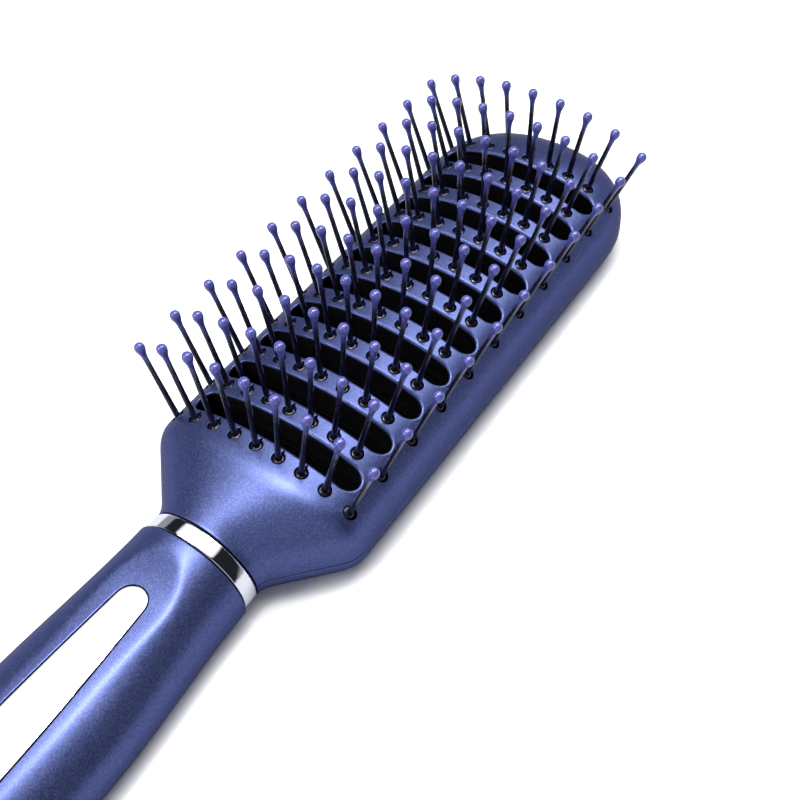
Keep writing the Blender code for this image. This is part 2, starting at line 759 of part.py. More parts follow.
def handle_inlay(parts, cutters, material):
    """Chromed leaf that fills its seat flush with the top of the handle, with two pegs below."""
    floor = INLAY_SEAT_HEIGHT + GAP
    bm = bmesh.new()
    add_handle_body(bm)
    inlay = new_body("handle_inlay", bm, parts, [material])
    add_boolean(inlay, leaf_cutter("inlay_outline", GAP, floor, cutters), "INTERSECT")
    add_boolean(inlay, peg_cutter("inlay_pegs", 0.0, floor + GAP, cutters), "UNION")
    smooth(inlay)


def build():
    for obj in list(bpy.data.objects):
        bpy.data.objects.remove(obj)
    parts = new_collection("vent_brush")
    cutters = new_collection("cutters")
    violet, nylon, lacquer, chrome = violet_satin(), black_nylon(), violet_lacquer(), mirror_chrome()
    vents = vent_cutter(cutters)
    head_front_shell(parts, cutters, vents, violet)
    head_back_shell(parts, cutters, vents, violet)
    pin = pin_mesh(cutters, [nylon, lacquer])
    for row in range(ROW_COUNT):
        pin_row(row, pin, parts, cutters, [nylon, lacquer])
    neck_ring(parts, cutters, chrome)
    handle_shell(parts, cutters, violet)
    handle_inlay(parts, cutters, chrome)


build()
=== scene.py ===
"""Vent hair brush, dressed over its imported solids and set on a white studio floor.

The brush lies on its back along X, with the butt of the handle at -X, the tip of the head at +X
and the pins pointing up along +Z. Lengths are in metres.

The curved walls are made as a moulder would draw them: a flat sheet is cut, its rims are rounded
and its surface is divided, and then the sheet is pressed on the form of the head or the handle.
"""

import logging
import math
from collections.abc import Callable, Iterator, Sequence
from contextlib import contextmanager
from dataclasses import dataclass
from enum import Enum

import bmesh
import bpy
import numpy as np
from mathutils import Matrix, Vector


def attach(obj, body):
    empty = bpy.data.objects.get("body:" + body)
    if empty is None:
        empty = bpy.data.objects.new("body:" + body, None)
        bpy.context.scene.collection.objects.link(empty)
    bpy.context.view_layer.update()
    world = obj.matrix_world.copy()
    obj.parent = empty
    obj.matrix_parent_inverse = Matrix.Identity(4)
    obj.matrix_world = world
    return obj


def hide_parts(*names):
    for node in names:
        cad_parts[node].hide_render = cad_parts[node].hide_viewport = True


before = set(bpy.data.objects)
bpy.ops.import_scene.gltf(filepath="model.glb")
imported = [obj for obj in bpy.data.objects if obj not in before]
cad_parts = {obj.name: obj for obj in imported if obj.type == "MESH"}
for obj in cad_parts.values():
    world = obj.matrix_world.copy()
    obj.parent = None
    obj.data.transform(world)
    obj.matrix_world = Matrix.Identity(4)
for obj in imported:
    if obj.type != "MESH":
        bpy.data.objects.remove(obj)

LOG = logging.getLogger("vent_brush")

Form = Callable[[np.ndarray], np.ndarray]
Points = Sequence[tuple[float, float]]

PARTING = 0.0065
CROWN = 0.0210
HALF_WIDTH = 0.0246
TIP_X = 0.12375
ROUNDING_X = 0.10125
TIP_ROUNDING = 0.0225
SHOULDER_X = 0.00525
NECK_X = -0.01175
RING_X = -0.01545
MOUTH_X = -0.01575
FIRST_ROW_X = 0.00625
ROW_PITCH = 0.0100
ROWS = 11
COLUMNS = 9
OUTER_COLUMN_Y = 0.0212
VENT_CORNERS = 40
HOLE_CORNERS = 24
COLLAR_CORNERS = 32
MIDDLE_X = FIRST_ROW_X + 4 * ROW_PITCH
PIN_FAN = math.radians(21.3)
PIN_LEAN = math.radians(2.9)
TOUCH = 1e-6
NUDGE = 5e-6
CUTTER_REACH = 0.01
RIM_LIFT = 4e-6
SHARP = 35.0
WHITE = "#FFFFFF"


def row_x(row: float) -> float:
    """Place of a row of pins along the head, or of the vent halfway to the next."""
    return FIRST_ROW_X + row * ROW_PITCH


def column_share(column: int) -> float:
    """Place of a column of pins, from -1 at one side to 1 at the other."""
    return 2.0 * column / (COLUMNS - 1) - 1.0


class Part(Enum):
    """What kind of mesh element a selection is made of."""

    VERT = "VERT"
    EDGE = "EDGE"
    FACE = "FACE"


def smoothstep(share: np.ndarray) -> np.ndarray:
    """Eases from 0 to 1 with level ends."""
    share = np.clip(share, 0.0, 1.0)
    return share * share * (3.0 - 2.0 * share)


def ramp(share: np.ndarray, start: float, end: float) -> np.ndarray:
    """Goes straight from 0 to 1, eased over a share of the way at its start and at its end.

    Args:
        share: How much of the way is done.
        start: Share of the way over which it speeds up.
        end: Share over which it slows down.

    Returns:
        The eased share.
    """
    share = np.clip(share, 0.0, 1.0)
    rate = 1.0 / (1.0 - (start + end) / 2.0)
    first = rate * share * share / (2.0 * start)
    last = 1.0 - rate * (1.0 - share) ** 2 / (2.0 * end)
    middle = rate * (share - start / 2.0)
    return np.where(share < start, first, np.where(share > 1.0 - end, last, middle))


def blend(start: np.ndarray, end: np.ndarray, share: np.ndarray) -> np.ndarray:
    """Goes from start to end as share goes from 0 to 1."""
    return start + (end - start) * share


def choose(obj: bpy.types.Object) -> None:
    """Makes one object the only selected and the active one.

    Args:
        obj: The object.
    """
    bpy.ops.object.select_all(action="DESELECT")
    obj.select_set(True)
    bpy.context.view_layer.objects.active = obj


@contextmanager
def editing(obj: bpy.types.Object) -> Iterator[None]:
    """Holds an object in edit mode, with all of it selected at first.

    Args:
        obj: The mesh object.
    """
    choose(obj)
    bpy.ops.object.mode_set(mode="EDIT")
    bpy.ops.mesh.select_all(action="SELECT")
    yield
    bpy.ops.object.mode_set(mode="OBJECT")


def pick(obj: bpy.types.Object, part: Part, test: Callable[..., bool]) -> int:
    """Selects only the elements that pass a test.

    Args:
        obj: The mesh object in edit mode.
        part: The kind of element that is tested.
        test: Says whether an element is taken.

    Returns:
        How many elements were taken.
    """
    bpy.ops.mesh.select_mode(type=part.value)
    bpy.ops.mesh.select_all(action="DESELECT")
    bm = bmesh.from_edit_mesh(obj.data)
    pools = {Part.VERT: bm.verts, Part.EDGE: bm.edges, Part.FACE: bm.faces}
    taken = [element for element in pools[part] if test(element)]
    for element in taken:
        element.select_set(True)
    bm.select_flush_mode()
    bmesh.update_edit_mesh(obj.data)
    return len(taken)


def finish_modifier(obj: bpy.types.Object, kind: str, **settings: object) -> None:
    """Adds a modifier and applies it.

    Args:
        obj: The object.
        kind: Type of the modifier.
        settings: Properties of the modifier.
    """
    choose(obj)
    modifier = obj.modifiers.new(kind.lower(), kind)
    for name, value in settings.items():
        setattr(modifier, name, value)
    bpy.ops.object.modifier_apply(modifier=modifier.name)


def join(objects: Sequence[bpy.types.Object], name: str) -> bpy.types.Object:
    """Joins objects into the first one and names it.

    Args:
        objects: The objects, the first of which stays.
        name: New name of the object and its mesh.

    Returns:
        The joined object.
    """
    choose(objects[0])
    for other in objects[1:]:
        other.select_set(True)
    if len(objects) > 1:
        bpy.ops.object.join()
    objects[0].name = name
    objects[0].data.name = name
    return objects[0]


def copy_of(obj: bpy.types.Object, place: Matrix) -> bpy.types.Object:
    """Copies an object with its own mesh and moves the mesh to a place.

    Args:
        obj: The object.
        place: Placement of the copy.

    Returns:
        The copy.
    """
    made = obj.copy()
    made.data = obj.data.copy()
    made.data.transform(place)
    bpy.context.collection.objects.link(made)
    return made


def remove(obj: bpy.types.Object) -> None:
    """Deletes an object and its mesh.

    Args:
        obj: The object.
    """
    mesh = obj.data
    bpy.data.objects.remove(obj)
    bpy.data.meshes.remove(mesh)


def placed(name: str) -> bpy.types.Object:
    """Names the primitive that was just added and applies its place.

    Args:
        name: Name of the object.

    Returns:
        The object.
    """
    obj = bpy.context.object
    obj.name = name
    bpy.ops.object.transform_apply(location=True, rotation=True, scale=True)
    return obj


def wear(obj: bpy.types.Object, *finishes: bpy.types.Material) -> bpy.types.Object:
    """Gives an object its materials.

    Args:
        obj: The object.
        finishes: The materials, in the order of their slots.

    Returns:
        The same object.
    """
    for finish in finishes:
        obj.data.materials.append(finish)
    return obj


def smooth(obj: bpy.types.Object, degrees: float = 40.0) -> None:
    """Shades an object smooth where its faces meet at less than an angle."""
    choose(obj)
    bpy.ops.object.shade_smooth_by_angle(angle=math.radians(degrees))


def thicken(obj: bpy.types.Object, wall: float) -> None:
    """Gives an open surface a wall on its inner side."""
    finish_modifier(obj, "SOLIDIFY", thickness=wall, offset=-1.0, use_even_offset=True)


def round_edges(obj: bpy.types.Object, width: float, segments: int, angle: float = 1.0) -> None:
    """Rounds the edges at which faces meet at more than an angle in radians."""
    rule = {"limit_method": "ANGLE", "angle_limit": angle}
    finish_modifier(obj, "BEVEL", width=width, segments=segments, **rule)


def bevel(obj: bpy.types.Object, test: Callable[..., bool], width: float, steps: int = 2) -> None:
    """Rounds the edges that pass a test.

    Args:
        obj: The mesh object.
        test: Says whether an edge is rounded.
        width: Width of the rounding.
        steps: Divisions of the rounding.
    """
    with editing(obj):
        pick(obj, Part.EDGE, test)
        bpy.ops.mesh.bevel(offset=width, segments=steps, profile=0.5, affect="EDGES")


def on_plane(element: bmesh.types.BMEdge | bmesh.types.BMFace, axis: int, place: float) -> bool:
    """Says whether an edge or a face lies wholly at one place on an axis."""
    return all(abs(vert.co[axis] - place) < TOUCH for vert in element.verts)


def is_rim(edge: bmesh.types.BMEdge) -> bool:
    """Says whether an edge lies at z = 0 between a level and an upright face."""
    return on_plane(edge, 2, 0.0) and edge.calc_face_angle(0.0) > 1.0


def turn_to(way: Vector, axis: str) -> Matrix:
    """The turn that points an axis, such as Z or -Z, along a direction."""
    return way.to_track_quat(axis, "Y").to_matrix().to_4x4()


def facing(place: tuple[float, float, float], aim: tuple[float, float, float]) -> Matrix:
    """Placement of a lamp or a camera that faces a point."""
    return Matrix.Translation(place) @ turn_to(Vector(aim) - Vector(place), "-Z")


def plate(name: str, outline: Points, thickness: float) -> bpy.types.Object:
    """Makes a flat sheet whose upper side lies at z = 0.

    Args:
        name: Name of the object.
        outline: Corners of the sheet, counterclockwise from above.
        thickness: How deep the sheet reaches below z = 0.

    Returns:
        The sheet.
    """
    bpy.ops.mesh.primitive_circle_add(vertices=len(outline), radius=1.0, fill_type="NGON")
    obj = bpy.context.object
    obj.name = name
    for vert, (x, y) in zip(obj.data.vertices, outline):
        vert.co = (x, y, 0.0)
    with editing(obj):
        bpy.ops.mesh.extrude_region_move(TRANSFORM_OT_translate={"value": (0.0, 0.0, -thickness)})
        bpy.ops.mesh.select_all(action="SELECT")
        bpy.ops.mesh.normals_make_consistent(inside=False)
    return obj


def turned(name: str, profile: Points, corners: int) -> bpy.types.Object:
    """Makes a round body about the Z axis by drawing a circle up its profile.

    Args:
        name: Name of the object.
        profile: Radius and height of each ring, from the bottom up.
        corners: Corners of each ring.

    Returns:
        The body, closed at both ends.
    """
    radius, height = profile[0]
    bpy.ops.mesh.primitive_circle_add(vertices=corners, radius=radius, location=(0.0, 0.0, height))
    obj = placed(name)
    with editing(obj):
        bpy.ops.mesh.edge_face_add()
        for radius_after, height_after in profile[1:]:
            move = {"value": (0.0, 0.0, height_after - height)}
            bpy.ops.mesh.extrude_region_move(TRANSFORM_OT_translate=move)
            if radius_after != radius:
                share, middle = radius_after / radius, (0.0, 0.0, height_after)
                bpy.ops.transform.resize(value=(share, share, 1.0), center_override=middle)
            radius, height = radius_after, height_after
        bpy.ops.mesh.select_all(action="SELECT")
        bpy.ops.mesh.normals_make_consistent(inside=False)
    smooth(obj, 50.0)
    return obj


def drawn_out(obj: bpy.types.Object, corners: int, run: float) -> bpy.types.Object:
    """Turns a round bar by half a side and draws it out along Y.

    Args:
        obj: The bar, about the Z axis.
        corners: Corners of its section.
        run: Distance between the centres of its two round ends.

    Returns:
        The same object.
    """
    with editing(obj):
        turn = math.pi / corners
        bpy.ops.transform.rotate(value=turn, orient_axis="Z", center_override=(0.0, 0.0, 0.0))
        for side in (1.0, -1.0):
            pick(obj, Part.VERT, lambda vert, side=side: vert.co.y * side > 0.0)
            bpy.ops.transform.translate(value=(0.0, side * run / 2.0, 0.0))
    return obj


def funnel(name: str, radius: float, rim: float, steps: int, corners: int) -> bpy.types.Object:
    """Makes a round cutter that flares out below z = 0, so that it leaves a rounded rim.

    Args:
        name: Name of the object.
        radius: Radius below the rim.
        rim: Rounding of the rim.
        steps: Divisions of the rounding.
        corners: Corners of the section.

    Returns:
        The cutter.
    """
    profile = [(radius, -CUTTER_REACH)]
    for step in range(steps + 1):
        turn = math.pi / 2.0 * step / steps
        height = rim * (math.sin(turn) - 1.0) + RIM_LIFT
        profile.append((radius + rim * (1.0 - math.cos(turn)), height))
    profile.append((radius + rim, CUTTER_REACH))
    return turned(name, profile, corners)


def cut(obj: bpy.types.Object, cutter: bpy.types.Object) -> None:
    """Cuts one object out of another and deletes the cutter."""
    finish_modifier(obj, "BOOLEAN", operation="DIFFERENCE", solver="EXACT", object=cutter)
    remove(cutter)


def slice_sheet(obj: bpy.types.Object, places: Sequence[float], axis: int) -> None:
    """Divides a flat sheet along straight lines, so that it can follow a curved form.

    Args:
        obj: The sheet.
        places: Where the lines lie on the axis.
        axis: 0 for lines across X, 1 for lines across Y.
    """
    normal = [0.0, 0.0, 0.0]
    normal[axis] = 1.0
    with editing(obj):
        for place in places:
            bpy.ops.mesh.select_all(action="SELECT")
            middle = [share * place for share in normal]
            bpy.ops.mesh.bisect(plane_co=middle, plane_no=normal, threshold=2.0 * TOUCH)


def both_sides(places: list[float]) -> list[float]:
    """The places to both sides of the spine."""
    return [-place for place in places] + places


def settle(obj: bpy.types.Object) -> None:
    """Splits the many-sided faces of a flat sheet and smooths it where its faces turn gently.

    Args:
        obj: The sheet.
    """
    with editing(obj):
        pick(obj, Part.FACE, lambda face: len(face.verts) > 4)
        bpy.ops.mesh.quads_convert_to_tris(quad_method="BEAUTY", ngon_method="BEAUTY")
    smooth(obj, SHARP)


def flat_shading(mesh: bpy.types.Mesh) -> np.ndarray:
    """Works out corner normals of a flat sheet that leave its level and upright faces unbent.

    Args:
        mesh: Mesh of the sheet before it is pressed.

    Returns:
        One normal for each face corner.
    """
    bm = bmesh.new()
    bm.from_mesh(mesh)
    shading = np.zeros((len(mesh.loops), 3))
    near = math.cos(math.radians(SHARP))
    upright, level, flat_weight = 0.01, 0.99, 1e4
    for vert in bm.verts:
        around = []
        for loop in vert.link_loops:
            face = loop.face
            rounded = upright < abs(face.normal.z) < level
            weight = face.calc_area() * (1.0 if rounded else flat_weight)
            around.append((loop.index, face.normal, weight))
        for index, normal, _ in around:
            close = (other * share for _, other, share in around if normal.dot(other) > near)
            total = sum(close, Vector())
            shading[index] = (total if total.length > 0.0 else normal).normalized()
    bm.free()
    return shading


def unit_rows(rows: np.ndarray, least: float) -> np.ndarray:
    """Gives each row the length 1, and turns a row without a length to the butt.

    Args:
        rows: Rows of coordinates.
        least: Length below which a row counts as none.

    Returns:
        The rows.
    """
    length = np.linalg.norm(rows, axis=1, keepdims=True)
    return np.where(length > least, rows / np.maximum(length, least), (-1.0, 0.0, 0.0))


def square_to(
    surface: Callable[[np.ndarray, np.ndarray], np.ndarray], first: np.ndarray, second: np.ndarray
) -> np.ndarray:
    """Directions square to a surface.

    Args:
        surface: Gives the places of flat points.
        first: First flat coordinate of each point.
        second: Second flat coordinate of each point.

    Returns:
        Rows of directions.
    """
    over_first = surface(first + NUDGE, second) - surface(first - NUDGE, second)
    over_second = surface(first, second + NUDGE) - surface(first, second - NUDGE)
    return unit_rows(np.cross(over_first, over_second), 1e-16)


def keep_shading(obj: bpy.types.Object) -> None:
    """Gives a pressed sheet the shading that was carried along.

    Args:
        obj: The sheet.
    """
    mesh = obj.data
    carried = np.empty(len(mesh.loops) * 3)
    mesh.attributes["pressed"].data.foreach_get("vector", carried)
    mesh.attributes.remove(mesh.attributes["pressed"])
    mesh.normals_split_custom_set(carried.reshape(-1, 3))
    mesh.update()


def press(obj: bpy.types.Object, form: Form, weld: bool = False) -> None:
    """Moves a flat sheet onto its form and carries its shading along.

    Args:
        obj: The sheet, with its shading settled.
        form: Gives the place of each flat point, as rows of coordinates.
        weld: Whether edges that meet on the form become one.
    """
    mesh = obj.data
    flat = np.empty(len(mesh.vertices) * 3)
    mesh.vertices.foreach_get("co", flat)
    flat = flat.reshape(-1, 3)
    shading = flat_shading(mesh)
    corner = np.empty(len(mesh.loops), dtype=np.int32)
    mesh.loops.foreach_get("vertex_index", corner)
    reach = 4e-6
    along = [form(flat + reach * axis) - form(flat - reach * axis) for axis in np.eye(3)]
    across = [np.cross(along[index - 2], along[index - 1])[corner] for index in range(3)]
    carried = unit_rows(sum(shading[:, [index]] * across[index] for index in range(3)), 1e-18)
    mesh.vertices.foreach_set("co", form(flat).ravel())
    stored = mesh.attributes.new("pressed", "FLOAT_VECTOR", "CORNER")
    stored.data.foreach_set("vector", carried.ravel())
    mesh.update()
    if weld:
        with editing(obj):
            bpy.ops.mesh.remove_doubles(threshold=2.0 * TOUCH)
    keep_shading(obj)


def stretched(levels: np.ndarray, heights: np.ndarray, half: float, free: float) -> np.ndarray:
    """Flat distances from the spine at which a section's levels lie.

    Up to the free level a flat point keeps its place in the plan. Beyond it the distance grows
    with the length of the curve, so that steep walls get as many divisions as level ones.

    Args:
        levels: Levels from 0 on the spine to 1 on the outline.
        heights: Height of the section at each level.
        half: Half width of the section.
        free: The last level that keeps its place.

    Returns:
        The flat distance of each level.
    """
    plan = np.diff(levels) * half
    curve = np.hypot(plan, np.diff(heights))
    steps = np.where(levels[1:] <= free, plan, curve)
    return np.concatenate(([0.0], np.cumsum(steps)))


def crowded_levels() -> np.ndarray:
    """Levels from 0 to 1 that lie closer together toward the outline."""
    return 1.0 - np.linspace(1.0, 0.0, 6000) ** 4


@dataclass
class HeadForm:
    """Outer form of the head: a domed face over a flat-backed bowl, drawn in to the neck.

    Attributes:
        neck_half: Half width at the ring.
        neck_rise: Height of the neck above the parting line.
        neck_drop: Depth of the neck below the parting line.
        shoulder: Length over which the head draws in.
        dome_power: How square the section of the head is.
        oval_power: How square the section of the neck is.
        outline_power: How square the tip of the head is.
        back_drop: Depth of the back below the parting line.
        seam: Half the gap at the parting line.
        face_free: Level up to which the face keeps its plan.
        back_free: Level up to which the back keeps its plan.
    """

    neck_half: float = 0.0123
    neck_rise: float = 0.0110
    neck_drop: float = 0.0059
    shoulder: float = 0.0170
    dome_power: float = 0.352
    oval_power: float = 0.5
    outline_power: float = 2.3
    back_drop: float = 0.0070
    seam: float = 0.0001
    face_free: float = 0.93
    back_free: float = 0.84

    def __post_init__(self) -> None:
        """Works out how the flat sheets of the face and the back stretch over their sides."""
        self.levels = crowded_levels()
        rise, drop = CROWN - PARTING, self.back_drop
        face = rise * (1.0 - self.levels**2) ** self.dome_power
        back = drop * (1.0 - self.levels**3) ** (1.0 / 3.0)
        self.face_flat = stretched(self.levels, face, HALF_WIDTH, self.face_free)
        self.back_flat = stretched(self.levels, back, HALF_WIDTH, self.back_free)

    def sizes(self, x: np.ndarray) -> tuple[np.ndarray, np.ndarray, np.ndarray, np.ndarray]:
        """Half width, rise, drop and dome power of the section at x.

        Args:
            x: Places along the head.

        Returns:
            The four sizes at each place.
        """
        share = (SHOULDER_X - x) / self.shoulder
        side = ramp(share, 0.30, 0.16)
        top = ramp((share - 0.05) / 0.95, 0.24, 0.03)
        return (
            blend(HALF_WIDTH, self.neck_half, side),
            blend(CROWN - PARTING, self.neck_rise, top),
            blend(self.back_drop, self.neck_drop, side),
            blend(self.dome_power, self.oval_power, top),
        )

    def level(self, x: np.ndarray, y: np.ndarray) -> np.ndarray:
        """How far out a flat point lies, 1 where the unstretched outline would be.

        Args:
            x: Places along the head.
            y: Flat distances across it.

        Returns:
            The level of each point.
        """
        across = (np.abs(y) / HALF_WIDTH) ** self.outline_power
        along = (np.maximum(x - ROUNDING_X, 0.0) / TIP_ROUNDING) ** self.outline_power
        return (across + along) ** (1.0 / self.outline_power)

    def surface(self, x: np.ndarray, y: np.ndarray, face: bool) -> np.ndarray:
        """Places of flat points on the outside of the head.

        Args:
            x: Places along the head.
            y: Flat distances across it.
            face: Whether the points lie on the face and not on the back.

        Returns:
            Rows of coordinates.
        """
        half, rise, drop, power = self.sizes(x)
        flat_level = self.level(x, y)
        table = self.face_flat if face else self.back_flat
        level = np.interp(flat_level * HALF_WIDTH, table, self.levels)
        ratio = level / np.maximum(flat_level, 1e-9)
        ratio = np.where(flat_level < 1e-6, 1.0, ratio)
        spine = np.minimum(x, ROUNDING_X)
        along = spine + (x - spine) * ratio
        across = y * ratio * half / HALF_WIDTH
        if face:
            height = PARTING + self.seam + (rise - self.seam) * (1.0 - level**2) ** power
        else:
            depth = (1.0 - level**3) ** (1.0 / 3.0)
            height = np.maximum(PARTING - self.seam - (drop - self.seam) * depth, 0.0)
        return np.stack([along, across, height], axis=-1)

    def wall(self, points: np.ndarray, face: bool) -> np.ndarray:
        """Places of points in the wall: straight below the lands, square to the steep sides.

        Args:
            points: Flat points, with their height as the third value.
            face: Whether the wall is the face's and not the back's.

        Returns:
            Rows of coordinates.
        """
        x, y, lift = points.T
        side = 1.0 if face else -1.0
        square = side * square_to(lambda u, v: self.surface(u, v, face), x, y)
        upright = np.array([0.0, 0.0, side])
        level = self.level(x, y)
        free = self.face_free if face else self.back_free
        share = smoothstep((level - free) / 0.10)[:, None]
        way = blend(upright, square, share)
        way /= np.linalg.norm(way, axis=1, keepdims=True)
        return self.surface(x, y, face) + way * lift[:, None]

    def face_form(self, points: np.ndarray) -> np.ndarray:
        """The form that the sheet of the face is pressed on."""
        return self.wall(points, True)

    def back_form(self, points: np.ndarray) -> np.ndarray:
        """The form that the sheet of the back is pressed on, from below."""
        return self.wall(points * (1.0, -1.0, 1.0), False)

    def outline(self, face: bool, start: float) -> list[tuple[float, float]]:
        """Corners of the flat sheet of the face or the back, from a place behind the shoulder.

        Args:
            face: Whether the sheet is the face's.
            start: Where the sheet begins.

        Returns:
            The corners, counterclockwise from above.
        """
        side = (self.face_flat if face else self.back_flat)[-1]
        share = side / HALF_WIDTH
        corners = [(start, side), (start, -side)]
        steps = 64
        for step in range(steps + 1):
            angle = math.pi * (step / steps - 0.5)
            along = abs(math.cos(angle)) ** (2.0 / self.outline_power)
            across = math.copysign(abs(math.sin(angle)) ** (2.0 / self.outline_power), angle)
            corners.append((ROUNDING_X + TIP_ROUNDING * share * along, side * across))
        return corners

    def height(self, x: float, y: float) -> float:
        """Height of the face at a point of the plan."""
        return float(self.surface(np.array([x]), np.array([y]), True)[0, 2])

    def slope(self, x: float, y: float) -> Vector:
        """The direction square to the face at a point of the plan.

        Args:
            x: Place along the head.
            y: Place across it.

        Returns:
            The direction.
        """
        reach = 1e-5
        over_x = (self.height(x + reach, y) - self.height(x - reach, y)) / (2.0 * reach)
        over_y = (self.height(x, y + reach) - self.height(x, y - reach)) / (2.0 * reach)
        return Vector((-over_x, -over_y, 1.0)).normalized()


def linear(code: str) -> tuple[float, float, float, float]:
    """Turns an sRGB hex colour into a linear one.

    Args:
        code: The colour, such as #804020.

    Returns:
        Red, green, blue and alpha.
    """
    parts = [int(code[start : start + 2], 16) / 255.0 for start in (1, 3, 5)]
    low = [part / 12.92 if part <= 0.04045 else ((part + 0.055) / 1.055) ** 2.4 for part in parts]
    return (low[0], low[1], low[2], 1.0)


def fill(tree: bpy.types.NodeTree, node: bpy.types.Node, inputs: dict[str | int, object]) -> None:
    """Sets or links the inputs of a node.

    Args:
        tree: The node tree.
        node: The node.
        inputs: Values or sockets for its inputs.
    """
    for key, value in inputs.items():
        if isinstance(value, bpy.types.NodeSocket):
            tree.links.new(value, node.inputs[key])
        else:
            node.inputs[key].default_value = value


def add_node(
    tree: bpy.types.NodeTree, kind: str, inputs: dict[str | int, object] | None = None,
    output: str | int = 0, **settings: object,
) -> bpy.types.NodeSocket | None:
    """Adds a node, sets its properties, and fills its inputs.

    Args:
        tree: The node tree.
        kind: Type of the node.
        inputs: Values or sockets for its inputs.
        output: The output that is wanted.
        settings: Properties of the node.

    Returns:
        The output, if the node has any.
    """
    node = tree.nodes.new(kind)
    for name, value in settings.items():
        setattr(node, name, value)
    fill(tree, node, inputs or {})
    return node.outputs[output] if node.outputs else None


def new_material(name: str) -> tuple[bpy.types.Material, bpy.types.NodeTree, bpy.types.Node]:
    """Adds a material.

    Args:
        name: Name of the material.

    Returns:
        The material, its node tree and its shader.
    """
    material = bpy.data.materials.new(name)
    material.use_nodes = True
    return material, material.node_tree, material.node_tree.nodes["Principled BSDF"]


@dataclass(frozen=True)
class SatinLacquer:
    """Violet metallic lacquer sprayed on moulded ABS, with a satin clear over fine mica flakes.

    Attributes:
        name: Name of the material.
        base: Colour of the coat.
        deep: Colour of its darker mottles.
        flake: Colour of the brightest flakes.
        edge: Tint of its reflection at a glancing angle.
        roughness: How wide the lights spread on the smoothest and on the roughest flakes.
        metallic: Share of the coat that shines as metal.
        flake_size: Width at which a flake is drawn.
        flake_share: Share of its colour that the brightest flake adds.
        mottle_size: Width of a mottle.
    """

    name: str = "violet_satin_lacquer"
    base: str = "#485286"
    deep: str = "#424C7D"
    flake: str = "#96A3D8"
    edge: str = "#50505E"
    roughness: tuple[float, float] = (0.31, 0.41)
    metallic: float = 0.80
    flake_size: float = 0.00017
    flake_share: float = 0.20
    mottle_size: float = 0.0006

    def build(self) -> bpy.types.Material:
        """Makes the material.

        Returns:
            The material.
        """
        # Flakes and mica make the sides that face a light pale and the others deep, with a fine
        # sparkle between. The flakes are 0.02 to 0.05 mm wide, too fine to show, and are drawn
        # coarser.
        material, tree, shader = new_material(self.name)
        place = add_node(tree, "ShaderNodeTexCoord", output="Object")
        flakes = add_node(
            tree, "ShaderNodeTexVoronoi", {"Vector": place, "Scale": 1.0 / self.flake_size}, "Color"
        )
        value = add_node(tree, "ShaderNodeSeparateColor", {0: flakes})
        bright = add_node(
            tree, "ShaderNodeMapRange",
            {"Value": value, "From Min": 0.3, "From Max": 1.0, "To Max": self.flake_share},
        )
        mottle = add_node(
            tree, "ShaderNodeTexNoise",
            {"Vector": place, "Scale": 1.0 / self.mottle_size, "Detail": 3.0}, "Fac",
        )
        ground = add_node(
            tree, "ShaderNodeMix", {"Factor": mottle, 6: linear(self.deep), 7: linear(self.base)},
            2, data_type="RGBA",
        )
        low, high = self.roughness
        fill(tree, shader, {
            "Base Color": add_node(
                tree, "ShaderNodeMix", {"Factor": bright, 6: ground, 7: linear(self.flake)},
                2, data_type="RGBA",
            ),
            "Roughness": add_node(
                tree, "ShaderNodeMapRange", {"Value": value, "To Min": low, "To Max": high}
            ),
            "Normal": add_node(
                tree, "ShaderNodeBump", {"Height": value, "Strength": 0.05, "Distance": 0.00003}
            ),
            "Metallic": self.metallic,
            "Specular Tint": linear(self.edge),
            "Coat Weight": 0.20,
            "Coat Roughness": 0.25,
        })
        return material


@dataclass(frozen=True)
class DippedLacquer:
    """Violet lacquer that the pin tips are dipped in, thin at its lower edge.

    Attributes:
        name: Name of the material.
        base: Colour of the full coat.
        deep: Colour where the black pin shows through.
        roughness: How wide the light under its clear skin spreads.
        streak_size: Width of the streaks at its edge.
        streak_reach: How much of the cover a streak takes away.
        full: Cover at which the coat has its full colour.
    """

    name: str = "violet_dipped_lacquer"
    base: str = "#494B96"
    deep: str = "#0E0D1C"
    roughness: float = 0.28
    streak_size: float = 1.0 / 1400.0
    streak_reach: float = 0.35
    full: float = 0.65

    def build(self) -> bpy.types.Material:
        """Makes the material.

        Returns:
            The material.
        """
        # The dip leaves a wet skin with one small light on each ball, and it runs out in streaks
        # over the black of the shaft.
        material, tree, shader = new_material(self.name)
        cover = add_node(tree, "ShaderNodeAttribute", output="Fac", attribute_name="cover")
        place = add_node(tree, "ShaderNodeTexCoord", output="Object")
        streak = add_node(
            tree, "ShaderNodeTexNoise",
            {"Vector": place, "Scale": 1.0 / self.streak_size, "Detail": 2.0}, "Fac",
        )
        thin = add_node(
            tree, "ShaderNodeMath", {0: streak, 1: self.streak_reach}, operation="MULTIPLY"
        )
        reach = add_node(tree, "ShaderNodeMath", {0: cover, 1: thin}, operation="SUBTRACT")
        share = add_node(tree, "ShaderNodeMapRange", {"Value": reach, "From Max": self.full})
        colors = {"Factor": share, 6: linear(self.deep), 7: linear(self.base)}
        fill(tree, shader, {
            "Base Color": add_node(tree, "ShaderNodeMix", colors, 2, data_type="RGBA"),
            "Roughness": self.roughness,
            "Coat Weight": 0.7,
            "Coat Roughness": 0.03,
        })
        return material


